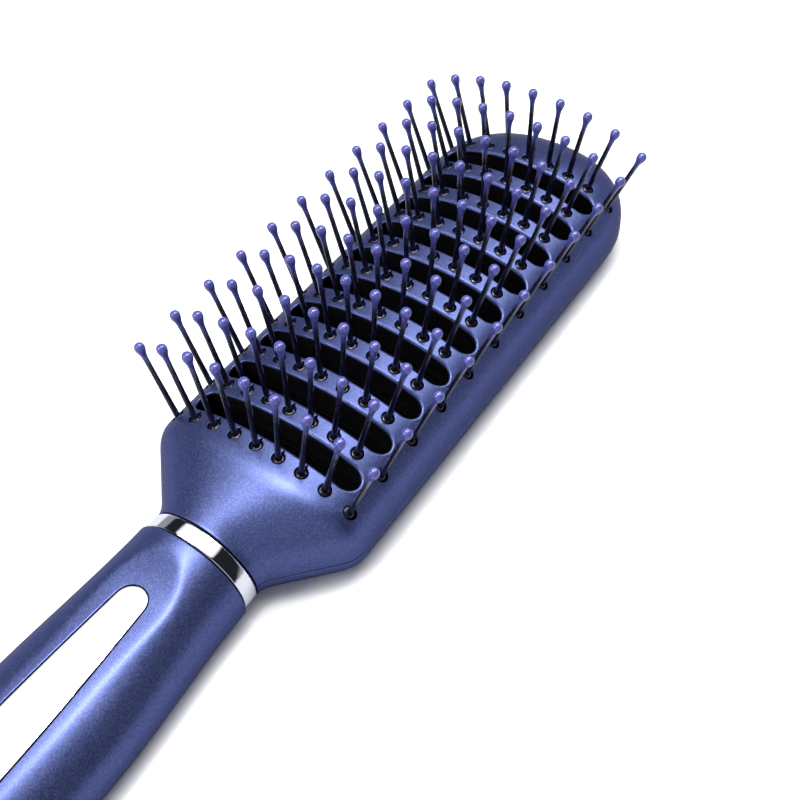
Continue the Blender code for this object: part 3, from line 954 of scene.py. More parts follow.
@dataclass(frozen=True)
class Clouded:
    """A finish whose colour, gloss and surface waver a little.

    Attributes:
        name: Name of the material.
        base: Colour between the clouds.
        cloud: Colour of the clouds.
        size: Width of a cloud.
        detail: How finely the clouds break up.
        relief: Strength of the relief that goes with them.
        depth: Height of that relief.
        roughness: How wide the lights spread, between the clouds and in them.
        metallic: Share that shines as metal.
        ior: Index of refraction.
        specular: Level of the reflection at a square angle, 0.5 as the index gives it.
    """

    name: str
    base: str
    cloud: str
    size: float
    detail: float
    relief: float
    depth: float
    roughness: tuple[float, float]
    metallic: float = 0.0
    ior: float = 1.50
    specular: float = 0.50

    def build(self) -> bpy.types.Material:
        """Makes the material.

        Returns:
            The material.
        """
        material, tree, shader = new_material(self.name)
        place = add_node(tree, "ShaderNodeTexCoord", output="Object")
        cloud = add_node(
            tree, "ShaderNodeTexNoise",
            {"Vector": place, "Scale": 1.0 / self.size, "Detail": self.detail}, "Fac",
        )
        low, high = self.roughness
        rough = low if low == high else add_node(
            tree, "ShaderNodeMapRange", {"Value": cloud, "To Min": low, "To Max": high}
        )
        colors = {"Factor": cloud, 6: linear(self.base), 7: linear(self.cloud)}
        fill(tree, shader, {
            "Base Color": add_node(tree, "ShaderNodeMix", colors, 2, data_type="RGBA"),
            "Roughness": rough,
            "Normal": add_node(
                tree, "ShaderNodeBump",
                {"Height": cloud, "Strength": self.relief, "Distance": self.depth},
            ),
            "Metallic": self.metallic,
            "IOR": self.ior,
            "Specular IOR Level": self.specular,
        })
        return material


# Nylon from a polished mould gives thin, sharp lights along the shafts, and its flow makes them
# waver.
MOULDED_NYLON = Clouded(
    name="black_moulded_nylon", base="#0C0B1A", cloud="#151328", size=0.0011, detail=2.0,
    relief=0.15, depth=0.00004, roughness=(0.06, 0.16), ior=1.53,
)
# Bright chrome mirrors the white ceiling and the dark walls, and the moulding under the plating
# makes the borders of these reflections wander.
CHROME_PLATING = Clouded(
    name="bright_chrome_plating", base="#F4F4F5", cloud="#ECECEF", size=0.0022, detail=2.0,
    relief=0.32, depth=0.00004, roughness=(0.03, 0.08), metallic=1.0,
)
# Black ABS, dull from the mould, shows only in the vents and holes. Its near black without
# # lights is partly the plastic's own colour and partly painted shade for the deep vents and holes.
BLACK_ABS_AND_PAINTED_SHADE = Clouded(
    name="black_abs_and_painted_shade", base="#030307", cloud="#06060A", size=1.0 / 1800.0, detail=3.0,
    relief=0.2, depth=0.00003, roughness=(0.65, 0.65), specular=0.15,
)


@dataclass
class Finishes:
    """The finishes of the brush.

    Attributes:
        satin: Lacquer of the shells and the handle.
        nylon: Nylon of the pins.
        dipped: Lacquer of the pin tips.
        chrome: Plating of the ring and the inlay.
        black_and_painted_shade: Black plastic inside the shells, darker and duller than its own
            colour as painted shade in the vents and holes.
    """

    satin: bpy.types.Material
    nylon: bpy.types.Material
    dipped: bpy.types.Material
    chrome: bpy.types.Material
    black_and_painted_shade: bpy.types.Material


def coat(
    sheet: bpy.types.Object, finishes: Finishes, rim: float,
    start: float = -math.inf, end: float = math.inf,
) -> None:
    """Gives a flat sheet its lacquer, and unlacquered black below the rims and on the underside,
    which in the vents and holes is also painted shade.

    Args:
        sheet: The sheet.
        finishes: Finishes of the brush.
        rim: Depth of the lacquered rims.
        start: Place from which what lies below the rims is unlacquered and near black.
        end: Place to which it is so.
    """
    wear(sheet, finishes.satin, finishes.black_and_painted_shade)
    for polygon in sheet.data.polygons:
        middle = polygon.center
        # Faces below the rims take the dull near black: partly the shell's own black plastic,
        # partly painted shade deep in the vents and holes.
        low = middle.z < -(rim + 10.0 * TOUCH) and start < middle.x < end
        polygon.material_index = 1 if low or polygon.normal.z < -0.5 else 0


def hand_over(obj: bpy.types.Object, nodes: Sequence[str]) -> None:
    """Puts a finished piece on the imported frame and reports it.

    Args:
        obj: The piece.
        nodes: Nodes of the frame that it stands for.
    """
    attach(obj, "root")
    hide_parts(*nodes)
    LOG.info("%s: %d faces, stands for %s", obj.name, len(obj.data.polygons), ", ".join(nodes))


@dataclass
class Head:
    """The two shells of the head with their vents and pin holes.

    Attributes:
        form: Outer form of the head.
        finishes: Finishes of the brush.
        wall: Thickness of the shells.
        vent_width: Width of a vent.
        vent_run: Distance between the centres of a vent's round ends.
        vent_rim: Rounding of the vents' rims.
        hole_radius: Radius of a pin hole.
        hole_rim: Rounding of the pin holes' rims.
        notch: How far the notch of a pin hole reaches toward the tip.
        edge_rim: Rounding of the shells' edges at the parting line.
        pitch: Distance between the divisions along the head.
        line_start: How far from the end they are counted.
        line_shift: Share of a division by which they miss the corners of the cuts.
        overhang: How much longer the flat sheet is than the head.
        level_pitch: Distance between the divisions across the level middle.
        level_lines: Their number to each side.
        steep_pitch: Distance between the divisions across the steep sides.
        collar_wall: Thickness of the tubes round the vents.
        collar_depth: How far the tubes end below the face.
        collar_edge: Rounding of their edges.
        collar_lines: Divisions along a tube.
        core_length: Length of the neck core.
        core_overlap: How far it reaches into the shells.
        core_step: How far it lies inside the neck.
        core_edge: Rounding of its edges.
    """

    form: HeadForm
    finishes: Finishes
    wall: float = 0.0012
    vent_width: float = 0.0051
    vent_run: float = 0.0340
    vent_rim: float = 0.0007
    hole_radius: float = 0.00135
    hole_rim: float = 0.00018
    notch: float = 0.0007
    edge_rim: float = 0.00015
    pitch: float = 0.00125
    line_start: float = 0.0001
    line_shift: float = 0.37
    overhang: float = 0.0120
    level_pitch: float = 0.0016
    level_lines: int = 12
    steep_pitch: float = 0.0009
    collar_wall: float = 0.0010
    collar_depth: float = 0.0080
    collar_edge: float = 0.0002
    collar_lines: int = 12
    core_length: float = 0.0390
    core_overlap: float = 0.0020
    core_step: float = 0.0018
    core_edge: float = 0.0004

    def vents(self) -> bpy.types.Object:
        """Makes the cutter of the ten vents.

        Returns:
            The cutter.
        """
        first = funnel("vents", self.vent_width / 2.0, self.vent_rim, 5, VENT_CORNERS)
        return join(self.at_vents(drawn_out(first, VENT_CORNERS, self.vent_run)), "vents")

    def at_vents(self, obj: bpy.types.Object) -> list[bpy.types.Object]:
        """Puts a copy of an object at each vent and deletes the object.

        Args:
            obj: The object, made about the Z axis.

        Returns:
            The copies.
        """
        places = [Matrix.Translation((row_x(vent + 0.5), 0.0, 0.0)) for vent in range(ROWS - 1)]
        copies = [copy_of(obj, place) for place in places]
        remove(obj)
        return copies

    def holes(self) -> bpy.types.Object:
        """Makes the cutter of the pin holes, each with its small notch toward the tip.

        Returns:
            The cutter.
        """
        cutters = []
        for column in range(COLUMNS):
            share = column_share(column)
            y = OUTER_COLUMN_Y * share
            square = self.form.slope(MIDDLE_X, y)
            tilt = math.atan2(square.y, square.z)
            narrow = math.cos(tilt) / math.cos(tilt - PIN_FAN * share)
            hole = funnel("hole", self.hole_radius, self.hole_rim, 2, HOLE_CORNERS)
            with editing(hole):
                pick(hole, Part.VERT, lambda vert: vert.co.x > 0.0 and abs(vert.co.y) < TOUCH)
                bpy.ops.transform.translate(value=(self.notch, 0.0, 0.0))
                bpy.ops.mesh.select_all(action="SELECT")
                bpy.ops.transform.resize(value=(1.0, narrow, 1.0), center_override=(0.0, 0.0, 0.0))
            places = [Matrix.Translation((row_x(row), y, 0.0)) for row in range(ROWS)]
            cutters += [copy_of(hole, place) for place in places]
            remove(hole)
        return join(cutters, "holes")

    def sheet(self, name: str, face: bool) -> bpy.types.Object:
        """Makes one shell of the head as a flat sheet, cuts it and presses it on its form.

        Args:
            name: Name of the shell.
            face: Whether it is the face and not the back.

        Returns:
            The shell.
        """
        form = self.form
        sheet = plate(name, form.outline(face, NECK_X), self.wall)
        bevel(sheet, lambda edge: on_plane(edge, 2, 0.0), self.edge_rim)
        cut(sheet, self.vents())
        if face:
            cut(sheet, self.holes())
        side = (form.face_flat if face else form.back_flat)[-1]
        span = TIP_X + self.overhang - NECK_X
        count, start = round(span / self.pitch), NECK_X + self.line_start
        shares = [(step + self.line_shift) / count for step in range(count)]
        slice_sheet(sheet, [start + span * share for share in shares], 0)
        level = [self.level_pitch * (step + 0.5) for step in range(self.level_lines)]
        rest = int((side - level[-1]) / self.steep_pitch)
        across = level + [level[-1] + self.steep_pitch * (step + 1) for step in range(rest)]
        slice_sheet(sheet, both_sides(across), 1)
        settle(sheet)
        coat(sheet, self.finishes, self.vent_rim)
        press(sheet, form.face_form if face else form.back_form)
        return sheet

    def collar(self) -> bpy.types.Object:
        """Makes the tube that stands on the back round a vent, arched under the strips.

        Returns:
            The tube.
        """
        bottom, lines = self.wall / 2.0, self.collar_lines
        bpy.ops.mesh.primitive_cylinder_add(
            vertices=COLLAR_CORNERS, radius=self.vent_width / 2.0 + self.collar_wall,
            depth=PARTING - bottom, end_fill_type="NOTHING",
            location=(0.0, 0.0, (bottom + PARTING) / 2.0),
        )
        tube = drawn_out(placed("collar"), COLLAR_CORNERS, self.vent_run)
        slice_sheet(tube, [self.vent_run * (step / lines - 0.5) for step in range(1, lines)], 1)
        thicken(tube, self.collar_wall)
        for vert in tube.data.vertices:
            if vert.co.z > PARTING / 2.0:
                vert.co.z = self.form.height(MIDDLE_X, vert.co.y) - self.collar_depth
        round_edges(tube, self.collar_edge, 2)
        smooth(tube)
        # The tube takes the dull near black: its own black plastic, made darker and duller as
        # painted shade inside the vents.
        return wear(tube, self.finishes.black_and_painted_shade)

    def core(self, upper: bool) -> bpy.types.Object:
        """Makes half of the neck core, which seats the ring and reaches into the handle.

        Args:
            upper: Whether it is the half above the parting line.

        Returns:
            The half.
        """
        bpy.ops.mesh.primitive_cylinder_add(
            vertices=64, radius=1.0, depth=self.core_length, rotation=(0.0, math.pi / 2.0, 0.0),
            location=(NECK_X + self.core_overlap - self.core_length / 2.0, 0.0, 0.0),
        )
        core = placed("core")
        for vert in core.data.vertices:
            rise = self.form.neck_rise if vert.co.z > 0.0 else self.form.neck_drop
            vert.co.y *= self.form.neck_half - self.core_step
            vert.co.z = PARTING + vert.co.z * (rise - self.core_step)
        with editing(core):
            bpy.ops.mesh.bisect(
                plane_co=(0.0, 0.0, PARTING), plane_no=(0.0, 0.0, 1.0), use_fill=True,
                clear_inner=upper, clear_outer=not upper,
            )
        round_edges(core, self.core_edge, 2)
        smooth(core)
        return wear(core, self.finishes.black_and_painted_shade)

    def build(self) -> None:
        """Makes both shells."""
        core = self.core(True)
        front = join([self.sheet("front_shell", True), core], "front_shell")
        hand_over(front, ["head_front_shell"])
        collars, core = self.at_vents(self.collar()), self.core(False)
        back = join([self.sheet("back_shell", False), *collars, core], "back_shell")
        hand_over(back, ["head_back_shell"])


@dataclass
class PinField:
    """The eleven nylon strips with their pins.

    Attributes:
        form: Outer form of the head.
        finishes: Finishes of the brush.
        corners: Corners of a pin's section.
        pin_profile: Radius and height of a pin, from its foot up.
        tip_profile: Radius and height of a dipped tip.
        boss_profile: Radius and height of the boss round a pin's foot.
        strip_width: Width of a strip.
        strip_sink: How far a strip lies below the face.
        strip_depth: How far a strip's underside lies below the face.
        strip_margin: How far a strip ends inside the outline.
        strip_edge: Rounding of a strip's edges.
        strip_lines: Divisions across a strip.
        boss_corners: Corners of a boss's section.
        dip_low: Height on the pin at which the lacquer begins.
        dip_high: Height at which it covers fully.
    """

    form: HeadForm
    finishes: Finishes
    corners: int = 14
    pin_profile: Points = (
        (0.00090, -0.0024), (0.00088, -0.00100), (0.00074, -0.00076), (0.00064, -0.00040),
        (0.00061, 0.00030), (0.00060, 0.0020), (0.00053, 0.0100), (0.00050, 0.0155),
    )
    tip_profile: Points = (
        (0.00050, 0.01080), (0.00054, 0.01100), (0.00053, 0.01280), (0.00055, 0.01400),
        (0.00060, 0.01475), (0.00069, 0.01532), (0.00085, 0.01580), (0.00100, 0.01622),
        (0.00107, 0.01666), (0.00105, 0.01708), (0.00092, 0.01743), (0.00070, 0.01768),
        (0.00040, 0.01781), (0.00012, 0.01784),
    )
    boss_profile: Points = (
        (0.00116, -0.00260), (0.00116, -0.00060), (0.00114, -0.00044), (0.00106, -0.00032),
        (0.00096, -0.00027), (0.00084, -0.00024), (0.00074, -0.00020), (0.00067, -0.00008),
        (0.00062, 0.00012),
    )
    strip_width: float = 0.0044
    strip_sink: float = 0.0014
    strip_depth: float = 0.0077
    strip_margin: float = 0.0032
    strip_edge: float = 0.00025
    strip_lines: int = 24
    boss_corners: int = 20
    dip_low: float = 0.0118
    dip_high: float = 0.0160

    def foot(self, row: int, column: int, square: bool) -> Matrix:
        """Placement of a pin or of the boss round its foot, with the origin on the face.

        Args:
            row: Row, counted from the handle.
            column: Column, counted from the -Y side.
            square: Whether Z is square to the face and not along the shaft.

        Returns:
            The placement.
        """
        x, y = row_x(row), OUTER_COLUMN_Y * column_share(column)
        if square:
            way = self.form.slope(x, y)
        else:
            fan = PIN_FAN * column_share(column)
            flat = math.cos(PIN_LEAN)
            way = Vector((math.sin(PIN_LEAN), math.sin(fan) * flat, math.cos(fan) * flat))
        return Matrix.Translation((x, y, self.form.height(x, y))) @ turn_to(way, "Z")

    def strip(self, row: int) -> bpy.types.Object:
        """Makes the arched bar that carries a row of pins.

        Args:
            row: Row, counted from the handle.

        Returns:
            The bar.
        """
        x = row_x(row)
        low, high = x - self.strip_width / 2.0, x + self.strip_width / 2.0
        reach = max(0.0, (high - ROUNDING_X) / TIP_ROUNDING) ** self.form.outline_power
        half = HALF_WIDTH * (1.0 - reach) ** (1.0 / self.form.outline_power) - self.strip_margin
        size = (self.strip_width, 2.0 * half, 1.0)
        bpy.ops.mesh.primitive_cube_add(size=1.0, location=(x, 0.0, 0.0), scale=size)
        obj = placed("strip")
        lines = self.strip_lines
        slice_sheet(obj, [half * (2.0 * step / lines - 1.0) for step in range(1, lines)], 1)
        for vert in obj.data.vertices:
            side = HALF_WIDTH * min(abs(vert.co.y) / HALF_WIDTH, 0.9)
            top = min(self.form.height(place, vert.co.y) for place in (low, high)) - self.strip_sink
            arch = self.form.height(MIDDLE_X, side) - self.strip_depth
            vert.co.z = top if vert.co.z > 0.0 else arch
        round_edges(obj, self.strip_edge, 2, 0.9)
        smooth(obj)
        # The nylon strip takes the dull near black of the vents' insides instead of glossy nylon,
        # as painted shade where it lies deep in the vents.
        return wear(obj, self.finishes.black_and_painted_shade)

    def build(self) -> None:
        """Makes every strip with its pins, and their dipped tips."""
        nylon, dipped = self.finishes.nylon, self.finishes.dipped
        pin = wear(turned("pin", self.pin_profile, self.corners), nylon)
        boss = wear(turned("boss", self.boss_profile, self.boss_corners), nylon)
        tip = wear(turned("tip", self.tip_profile, self.corners), dipped)
        cover = tip.data.attributes.new("cover", "FLOAT", "POINT")
        for index, vert in enumerate(tip.data.vertices):
            share = (vert.co.z - self.dip_low) / (self.dip_high - self.dip_low)
            cover.data[index].value = min(1.0, max(0.0, share))
        for row in range(ROWS):
            pieces = [self.strip(row)]
            tips = []
            for column in range(COLUMNS):
                place = self.foot(row, column, False)
                pieces.append(copy_of(pin, place))
                pieces.append(copy_of(boss, self.foot(row, column, True)))
                tips.append(copy_of(tip, place))
            number = f"{row + 1:02d}"
            strip = join(pieces, f"pin_strip_{number}")
            hand_over(strip, [f"pin_row_{number}"])
            balls = join(tips, f"pin_tips_{number}")
            hand_over(balls, [f"pin_row_{number}"])
        for obj in (pin, boss, tip):
            remove(obj)


@dataclass
class Ring:
    """The chromed ring between head and handle.

    Attributes:
        form: Outer form of the head, whose neck the ring follows.
        finishes: Finishes of the brush.
        width: Width of the ring.
        wall: Thickness of its wall.
        edge: Rounding of its edges.
        barrel: How far its middle swells.
        corners: Corners of its section.
        lines: Divisions across its width.
    """

    form: HeadForm
    finishes: Finishes
    width: float = 0.0034
    wall: float = 0.0012
    edge: float = 0.0003
    barrel: float = 0.00006
    corners: int = 160
    lines: int = 6

    def build(self) -> None:
        """Makes the ring."""
        bpy.ops.mesh.primitive_cylinder_add(
            vertices=self.corners, radius=1.0, depth=self.width, end_fill_type="NOTHING",
            location=(RING_X + self.width / 2.0, 0.0, 0.0), rotation=(0.0, math.pi / 2.0, 0.0),
        )
        ring = placed("chrome_ring")
        lines = self.lines
        slice_sheet(ring, [RING_X + self.width * (step / lines) for step in range(1, lines)], 0)
        for vert in ring.data.vertices:
            side = max(-1.0, min(1.0, vert.co.y))
            along = (vert.co.x - RING_X) / self.width * 2.0 - 1.0
            grow = 1.0 + self.barrel * (1.0 - along * along) / self.form.neck_half
            if vert.co.z >= 0.0:
                height = self.form.neck_rise * (1.0 - side * side) ** 0.5
            else:
                height = -self.form.neck_drop * (1.0 - abs(side) ** 3) ** (1.0 / 3.0)
            vert.co = (vert.co.x, side * self.form.neck_half * grow, PARTING + height * grow)
        with editing(ring):
            bpy.ops.mesh.normals_make_consistent(inside=False)
        thicken(ring, self.wall)
        round_edges(ring, self.edge, 3)
        smooth(ring)
        finish_modifier(ring, "WEIGHTED_NORMAL", keep_sharp=True)
        wear(ring, self.finishes.chrome)
        hand_over(ring, ["neck_ring"])


@dataclass
class HandleForm:
    """Outer form of the handle, from its mouth at the ring to the rounded butt.

    Attributes:
        length: Length of the handle.
        half: Half width where it is widest.
        rise: Height of its deck above the parting line.
        drop: Depth below the parting line.
        step: How far the mouth stands out beyond the ring.
        mouth_half: Half width at the mouth, without the step.
        mouth_rise: Height at the mouth, without the step.
        mouth_drop: Depth at the mouth, without the step.
        swell: Distance over which the handle widens.
        settle_run: Distance over which its top sinks to its usual height.
        butt: Length of the rounded butt.
        butt_flat: Length of flat sheet that the butt takes up.
        butt_power: How square the butt is.
        butt_width_share: Width before the butt, as a share of the widest.
        butt_rise_share: Height before the butt, as a share of the highest.
        taper_power: How late the taper sets in.
        mouth_power: How square the section is at the mouth.
        top_power: How square the section is beyond it.
        body_lift: How far the round body would stand above the deck.
        deck_round: Radius of the deck's crown.
        deck_edge: Softness of the deck's border.
        scoop_length: Where the deck's arched scoop begins.
        scoop_start: Where the scoop would reach the mouth's height.
        free: Level up to which the sheet keeps its plan.
    """

    length: float = 0.1080
    half: float = 0.0150
    rise: float = 0.0094
    drop: float = 0.0070
    step: float = 0.0005
    mouth_half: float = 0.0123
    mouth_rise: float = 0.0110
    mouth_drop: float = 0.0059
    swell: float = 0.0370
    settle_run: float = 0.0300
    butt: float = 0.0130
    butt_flat: float = 0.0170
    butt_power: float = 2.4
    butt_width_share: float = 0.74
    butt_rise_share: float = 0.92
    taper_power: float = 1.6
    mouth_power: float = 0.5
    top_power: float = 0.48
    body_lift: float = 0.0010
    deck_round: float = 0.450
    deck_edge: float = 0.00020
    scoop_length: float = 0.0140
    scoop_start: float = 0.0028
    free: float = 0.70

    def __post_init__(self) -> None:
        """Works out how the flat sheet of the handle wraps round its section."""
        self.levels = crowded_levels()
        upper = (self.rise + self.body_lift) * (1.0 - self.levels**2) ** self.top_power
        lower = self.drop * (1.0 - self.levels**3) ** (1.0 / 3.0)
        self.upper_flat = stretched(self.levels, upper, self.half, self.free)
        below = stretched(self.levels, lower, self.half, self.free)
        self.lower_flat = below[-1] - below
        self.widest = self.upper_flat[-1]
        self.girth = self.widest + below[-1]
        self.flat_length = self.length - self.butt + self.butt_flat

    def taper(self, real: np.ndarray) -> np.ndarray:
        """How far the handle has narrowed toward the butt, from 0 to 1."""
        run = np.maximum(real - self.swell, 0.0) / (self.length - self.swell)
        return run**self.taper_power

    def sizes(self, distance: np.ndarray) -> tuple[np.ndarray, ...]:
        """Distance along the handle and the sizes of its section at a flat distance.

        Args:
            distance: Flat distances from the mouth.

        Returns:
            Real distance, half width, rise, drop and power of the section.
        """
        start = self.length - self.butt
        turn = np.clip((distance - start) / self.butt_flat, 0.0, 1.0) * math.pi / 2.0
        past = np.sin(turn) ** (2.0 / self.butt_power)
        end = np.maximum(np.cos(turn), 0.0) ** (2.0 / self.butt_power)
        real = np.where(distance > start, start + self.butt * past, distance)
        swell = smoothstep(real / self.swell)
        sunk = smoothstep(real / self.settle_run)
        taper = self.taper(real)
        half = blend(self.mouth_half + self.step, self.half, swell)
        rise = blend(self.mouth_rise + self.step, self.rise + self.body_lift, sunk)
        drop = blend(self.mouth_drop + self.step, self.drop, swell)
        return (
            real,
            half * blend(1.0, self.butt_width_share, taper) * end,
            rise * blend(1.0, self.butt_rise_share, taper) * end,
            drop * end,
            blend(self.mouth_power, self.top_power, swell),
        )

    def surface(self, distance: np.ndarray, around: np.ndarray) -> np.ndarray:
        """Places of flat points on the outside of the handle.

        Args:
            distance: Flat distances from the mouth.
            around: Flat distances round the section from the middle of the top.

        Returns:
            Rows of coordinates.
        """
        real, half, rise, drop, power = self.sizes(distance)
        way = np.abs(around)
        upper = way <= self.widest
        level_up = np.interp(way, self.upper_flat, self.levels)
        level_down = np.interp(way - self.widest, self.lower_flat[::-1], self.levels[::-1])
        level = np.where(upper, level_up, level_down)
        body = rise * (1.0 - level_up**2) ** power
        run = np.maximum(self.scoop_length - real, 0.0) / (self.scoop_length - self.scoop_start)
        deck = self.rise * blend(1.0, self.butt_rise_share, self.taper(real))
        deck += (self.mouth_rise + self.step - self.rise) * run**2
        deck -= (half * level_up) ** 2 / (2.0 * self.deck_round)
        gap = np.hypot(body - deck, 2.0 * self.deck_edge)
        high = PARTING + np.maximum((body + deck - gap) / 2.0, 0.0)
        low = np.maximum(PARTING - drop * (1.0 - level_down**3) ** (1.0 / 3.0), 0.0)
        across = -np.sign(around) * half * level
        return np.stack([MOUTH_X - real, across, np.where(upper, high, low)], axis=-1)

    def form(self, points: np.ndarray) -> np.ndarray:
        """The form that the sheet of the handle is wrapped on.

        Args:
            points: Flat points, with their height as the third value.

        Returns:
            Rows of coordinates.
        """
        distance, around, lift = points.T
        square = square_to(self.surface, distance, around)
        return self.surface(distance, around) + square * lift[:, None]


@dataclass
class Handle:
    """The hollow handle and the mirror inlay in its top.

    Attributes:
        shape: Outer form of the handle.
        finishes: Finishes of the brush.
        wall: Thickness of the handle.
        inlay_start: Distance of the inlay from the mouth.
        inlay_margin: Distance of the inlay from the butt.
        inlay_end: Width of the inlay's round ends.
        inlay_width: Width of the inlay in the middle.
        inlay_depth: Depth of the inlay's seat.
        inlay_reach: Flat distance that covers the inlay to each side.
        gap: Gap round the inlay.
        seat_edge: Rounding of the seat's rim.
        inlay_edge: Rounding of the inlay's rim.
        mouth_edge: Rounding of the handle's mouth.
        shell_pitch: Distance between the divisions along the handle.
        inlay_pitch: Distance between the divisions along the inlay.
        across_pitch: Distance between the divisions across both.
        line_shift: Share of a division by which they miss the corners of the seat.
    """

    shape: HandleForm
    finishes: Finishes
    wall: float = 0.0026
    inlay_start: float = 0.0105
    inlay_margin: float = 0.0155
    inlay_end: float = 0.0068
    inlay_width: float = 0.0100
    inlay_depth: float = 0.0017
    inlay_reach: float = 0.0080
    gap: float = 0.00014
    seat_edge: float = 0.00025
    inlay_edge: float = 0.0003
    mouth_edge: float = 0.0003
    shell_pitch: float = 0.00125
    inlay_pitch: float = 0.00100
    across_pitch: float = 0.00090
    line_shift: float = 0.43

    def leaf(self, inset: float) -> list[tuple[float, float]]:
        """Flat outline of the inlay: round ends joined by gently swelling sides.

        Args:
            inset: How far the outline lies inside the seat's.

        Returns:
            The corners, counterclockwise from above.
        """
        radius = self.inlay_end / 2.0
        swell = (self.inlay_width - self.inlay_end) / 2.0
        head = self.inlay_start + radius
        butt = self.shape.length - self.inlay_margin - radius
        reach = radius - inset
        lines, turns = 40, 16
        points = []
        for side, start, end in ((1.0, head, butt), (-1.0, butt, head)):
            for step in range(lines + 1):
                share = step / lines
                width = reach + swell * math.sin(math.pi * share)
                points.append((blend(start, end, share), side * width))
            for step in range(1, turns):
                turn = math.pi * step / turns
                points.append((end + side * reach * math.sin(turn), side * reach * math.cos(turn)))
        widths = self.shape.sizes(np.array([point[0] for point in points]))[1]
        flat = [(x, y * self.shape.half / float(width)) for (x, y), width in zip(points, widths)]
        return flat[::-1]

    def slices(self, obj: bpy.types.Object, girth: float, length: float, pitch: float) -> None:
        """Divides a flat sheet of the handle.

        Args:
            obj: The sheet.
            girth: How far it reaches to each side.
            length: Its length.
            pitch: Distance between the lines across it.
        """
        count = int(length / pitch)
        slice_sheet(obj, [pitch * (step + self.line_shift) for step in range(count)], 0)
        rows = int(girth / self.across_pitch)
        across = [self.across_pitch * (step + 0.5) for step in range(rows)]
        slice_sheet(obj, both_sides(across), 1)

    def shell(self) -> bpy.types.Object:
        """Makes the handle, with a seat for the inlay.

        Returns:
            The handle.
        """
        girth, length = self.shape.girth, self.shape.flat_length
        margin = 0.001

        def on_seat(edge: bmesh.types.BMEdge) -> bool:
            """Says whether an edge belongs to the upper rim of the seat."""
            for vert in edge.verts:
                if not margin < vert.co.x < length - margin or abs(vert.co.y) > girth - margin:
                    return False
            return is_rim(edge)

        def on_mouth(edge: bmesh.types.BMEdge) -> bool:
            """Says whether an edge belongs to the outer rim of the mouth."""
            return on_plane(edge, 2, 0.0) and on_plane(edge, 0, 0.0)

        outline = [(0.0, -girth), (length, -girth), (length, girth), (0.0, girth)]
        sheet = plate("handle", outline, self.wall)
        deep = 2.0 * self.inlay_depth + self.seat_edge
        seat = plate("seat", self.leaf(0.0), deep)
        seat.data.transform(Matrix.Translation((0.0, 0.0, deep - self.inlay_depth)))
        cut(sheet, seat)
        bevel(sheet, on_seat, self.seat_edge)
        bevel(sheet, on_mouth, self.mouth_edge, 3)
        sides = ((1, girth), (1, -girth), (0, length))
        with editing(sheet):
            pick(sheet, Part.FACE, lambda face: any(on_plane(face, *side) for side in sides))
            bpy.ops.mesh.delete(type="FACE")
        self.slices(sheet, girth, length, self.shell_pitch)
        settle(sheet)
        coat(sheet, self.finishes, self.seat_edge, 2.0 * margin, length - 2.0 * margin)
        press(sheet, self.shape.form, weld=True)
        return sheet

    def inlay(self) -> bpy.types.Object:
        """Makes the inlay, flush with the top of the handle.

        Returns:
            The inlay.
        """
        sheet = plate("inlay", self.leaf(self.gap), self.inlay_depth - self.gap)
        bevel(sheet, is_rim, self.inlay_edge)
        self.slices(sheet, self.inlay_reach, self.shape.length, self.inlay_pitch)
        settle(sheet)
        wear(sheet, self.finishes.chrome)
        press(sheet, self.shape.form)
        return sheet

    def build(self) -> None:
        """Makes the handle and its inlay."""
        shell = self.shell()
        shell.name = "handle"
        hand_over(shell, ["handle_shell"])
        inlay = self.inlay()
        inlay.name = "mirror_inlay"
        hand_over(inlay, ["handle_inlay"])


@dataclass(frozen=True)
class Lamp:
    """A soft rectangular lamp.

    Attributes:
        name: Name of the lamp.
        place: Where it hangs.
        aim: The point that it faces.
        size: Its length and width.
        power: Its power in watts.
    """

    name: str
    place: tuple[float, float, float]
    aim: tuple[float, float, float]
    size: tuple[float, float]
    power: float

    def build(self) -> None:
        """Hangs the lamp."""
        data = bpy.data.lights.new(self.name, "AREA")
        data.shape = "RECTANGLE"
        data.size, data.size_y = self.size
        data.energy = self.power
        lamp = bpy.data.objects.new(self.name, data)
        bpy.context.scene.collection.objects.link(lamp)
        lamp.matrix_world = facing(self.place, self.aim)


@dataclass(frozen=True)
class SkyPatch:
    """A pale part of the studio round the brush.

    Attributes:
        lean: Direction in which the patch lies.
        low: Where it begins, as a dot product with its direction.
        high: Where it is full.
        color: Its colour.
    """

    lean: tuple[float, float, float]
    low: float
    high: float
    color: str


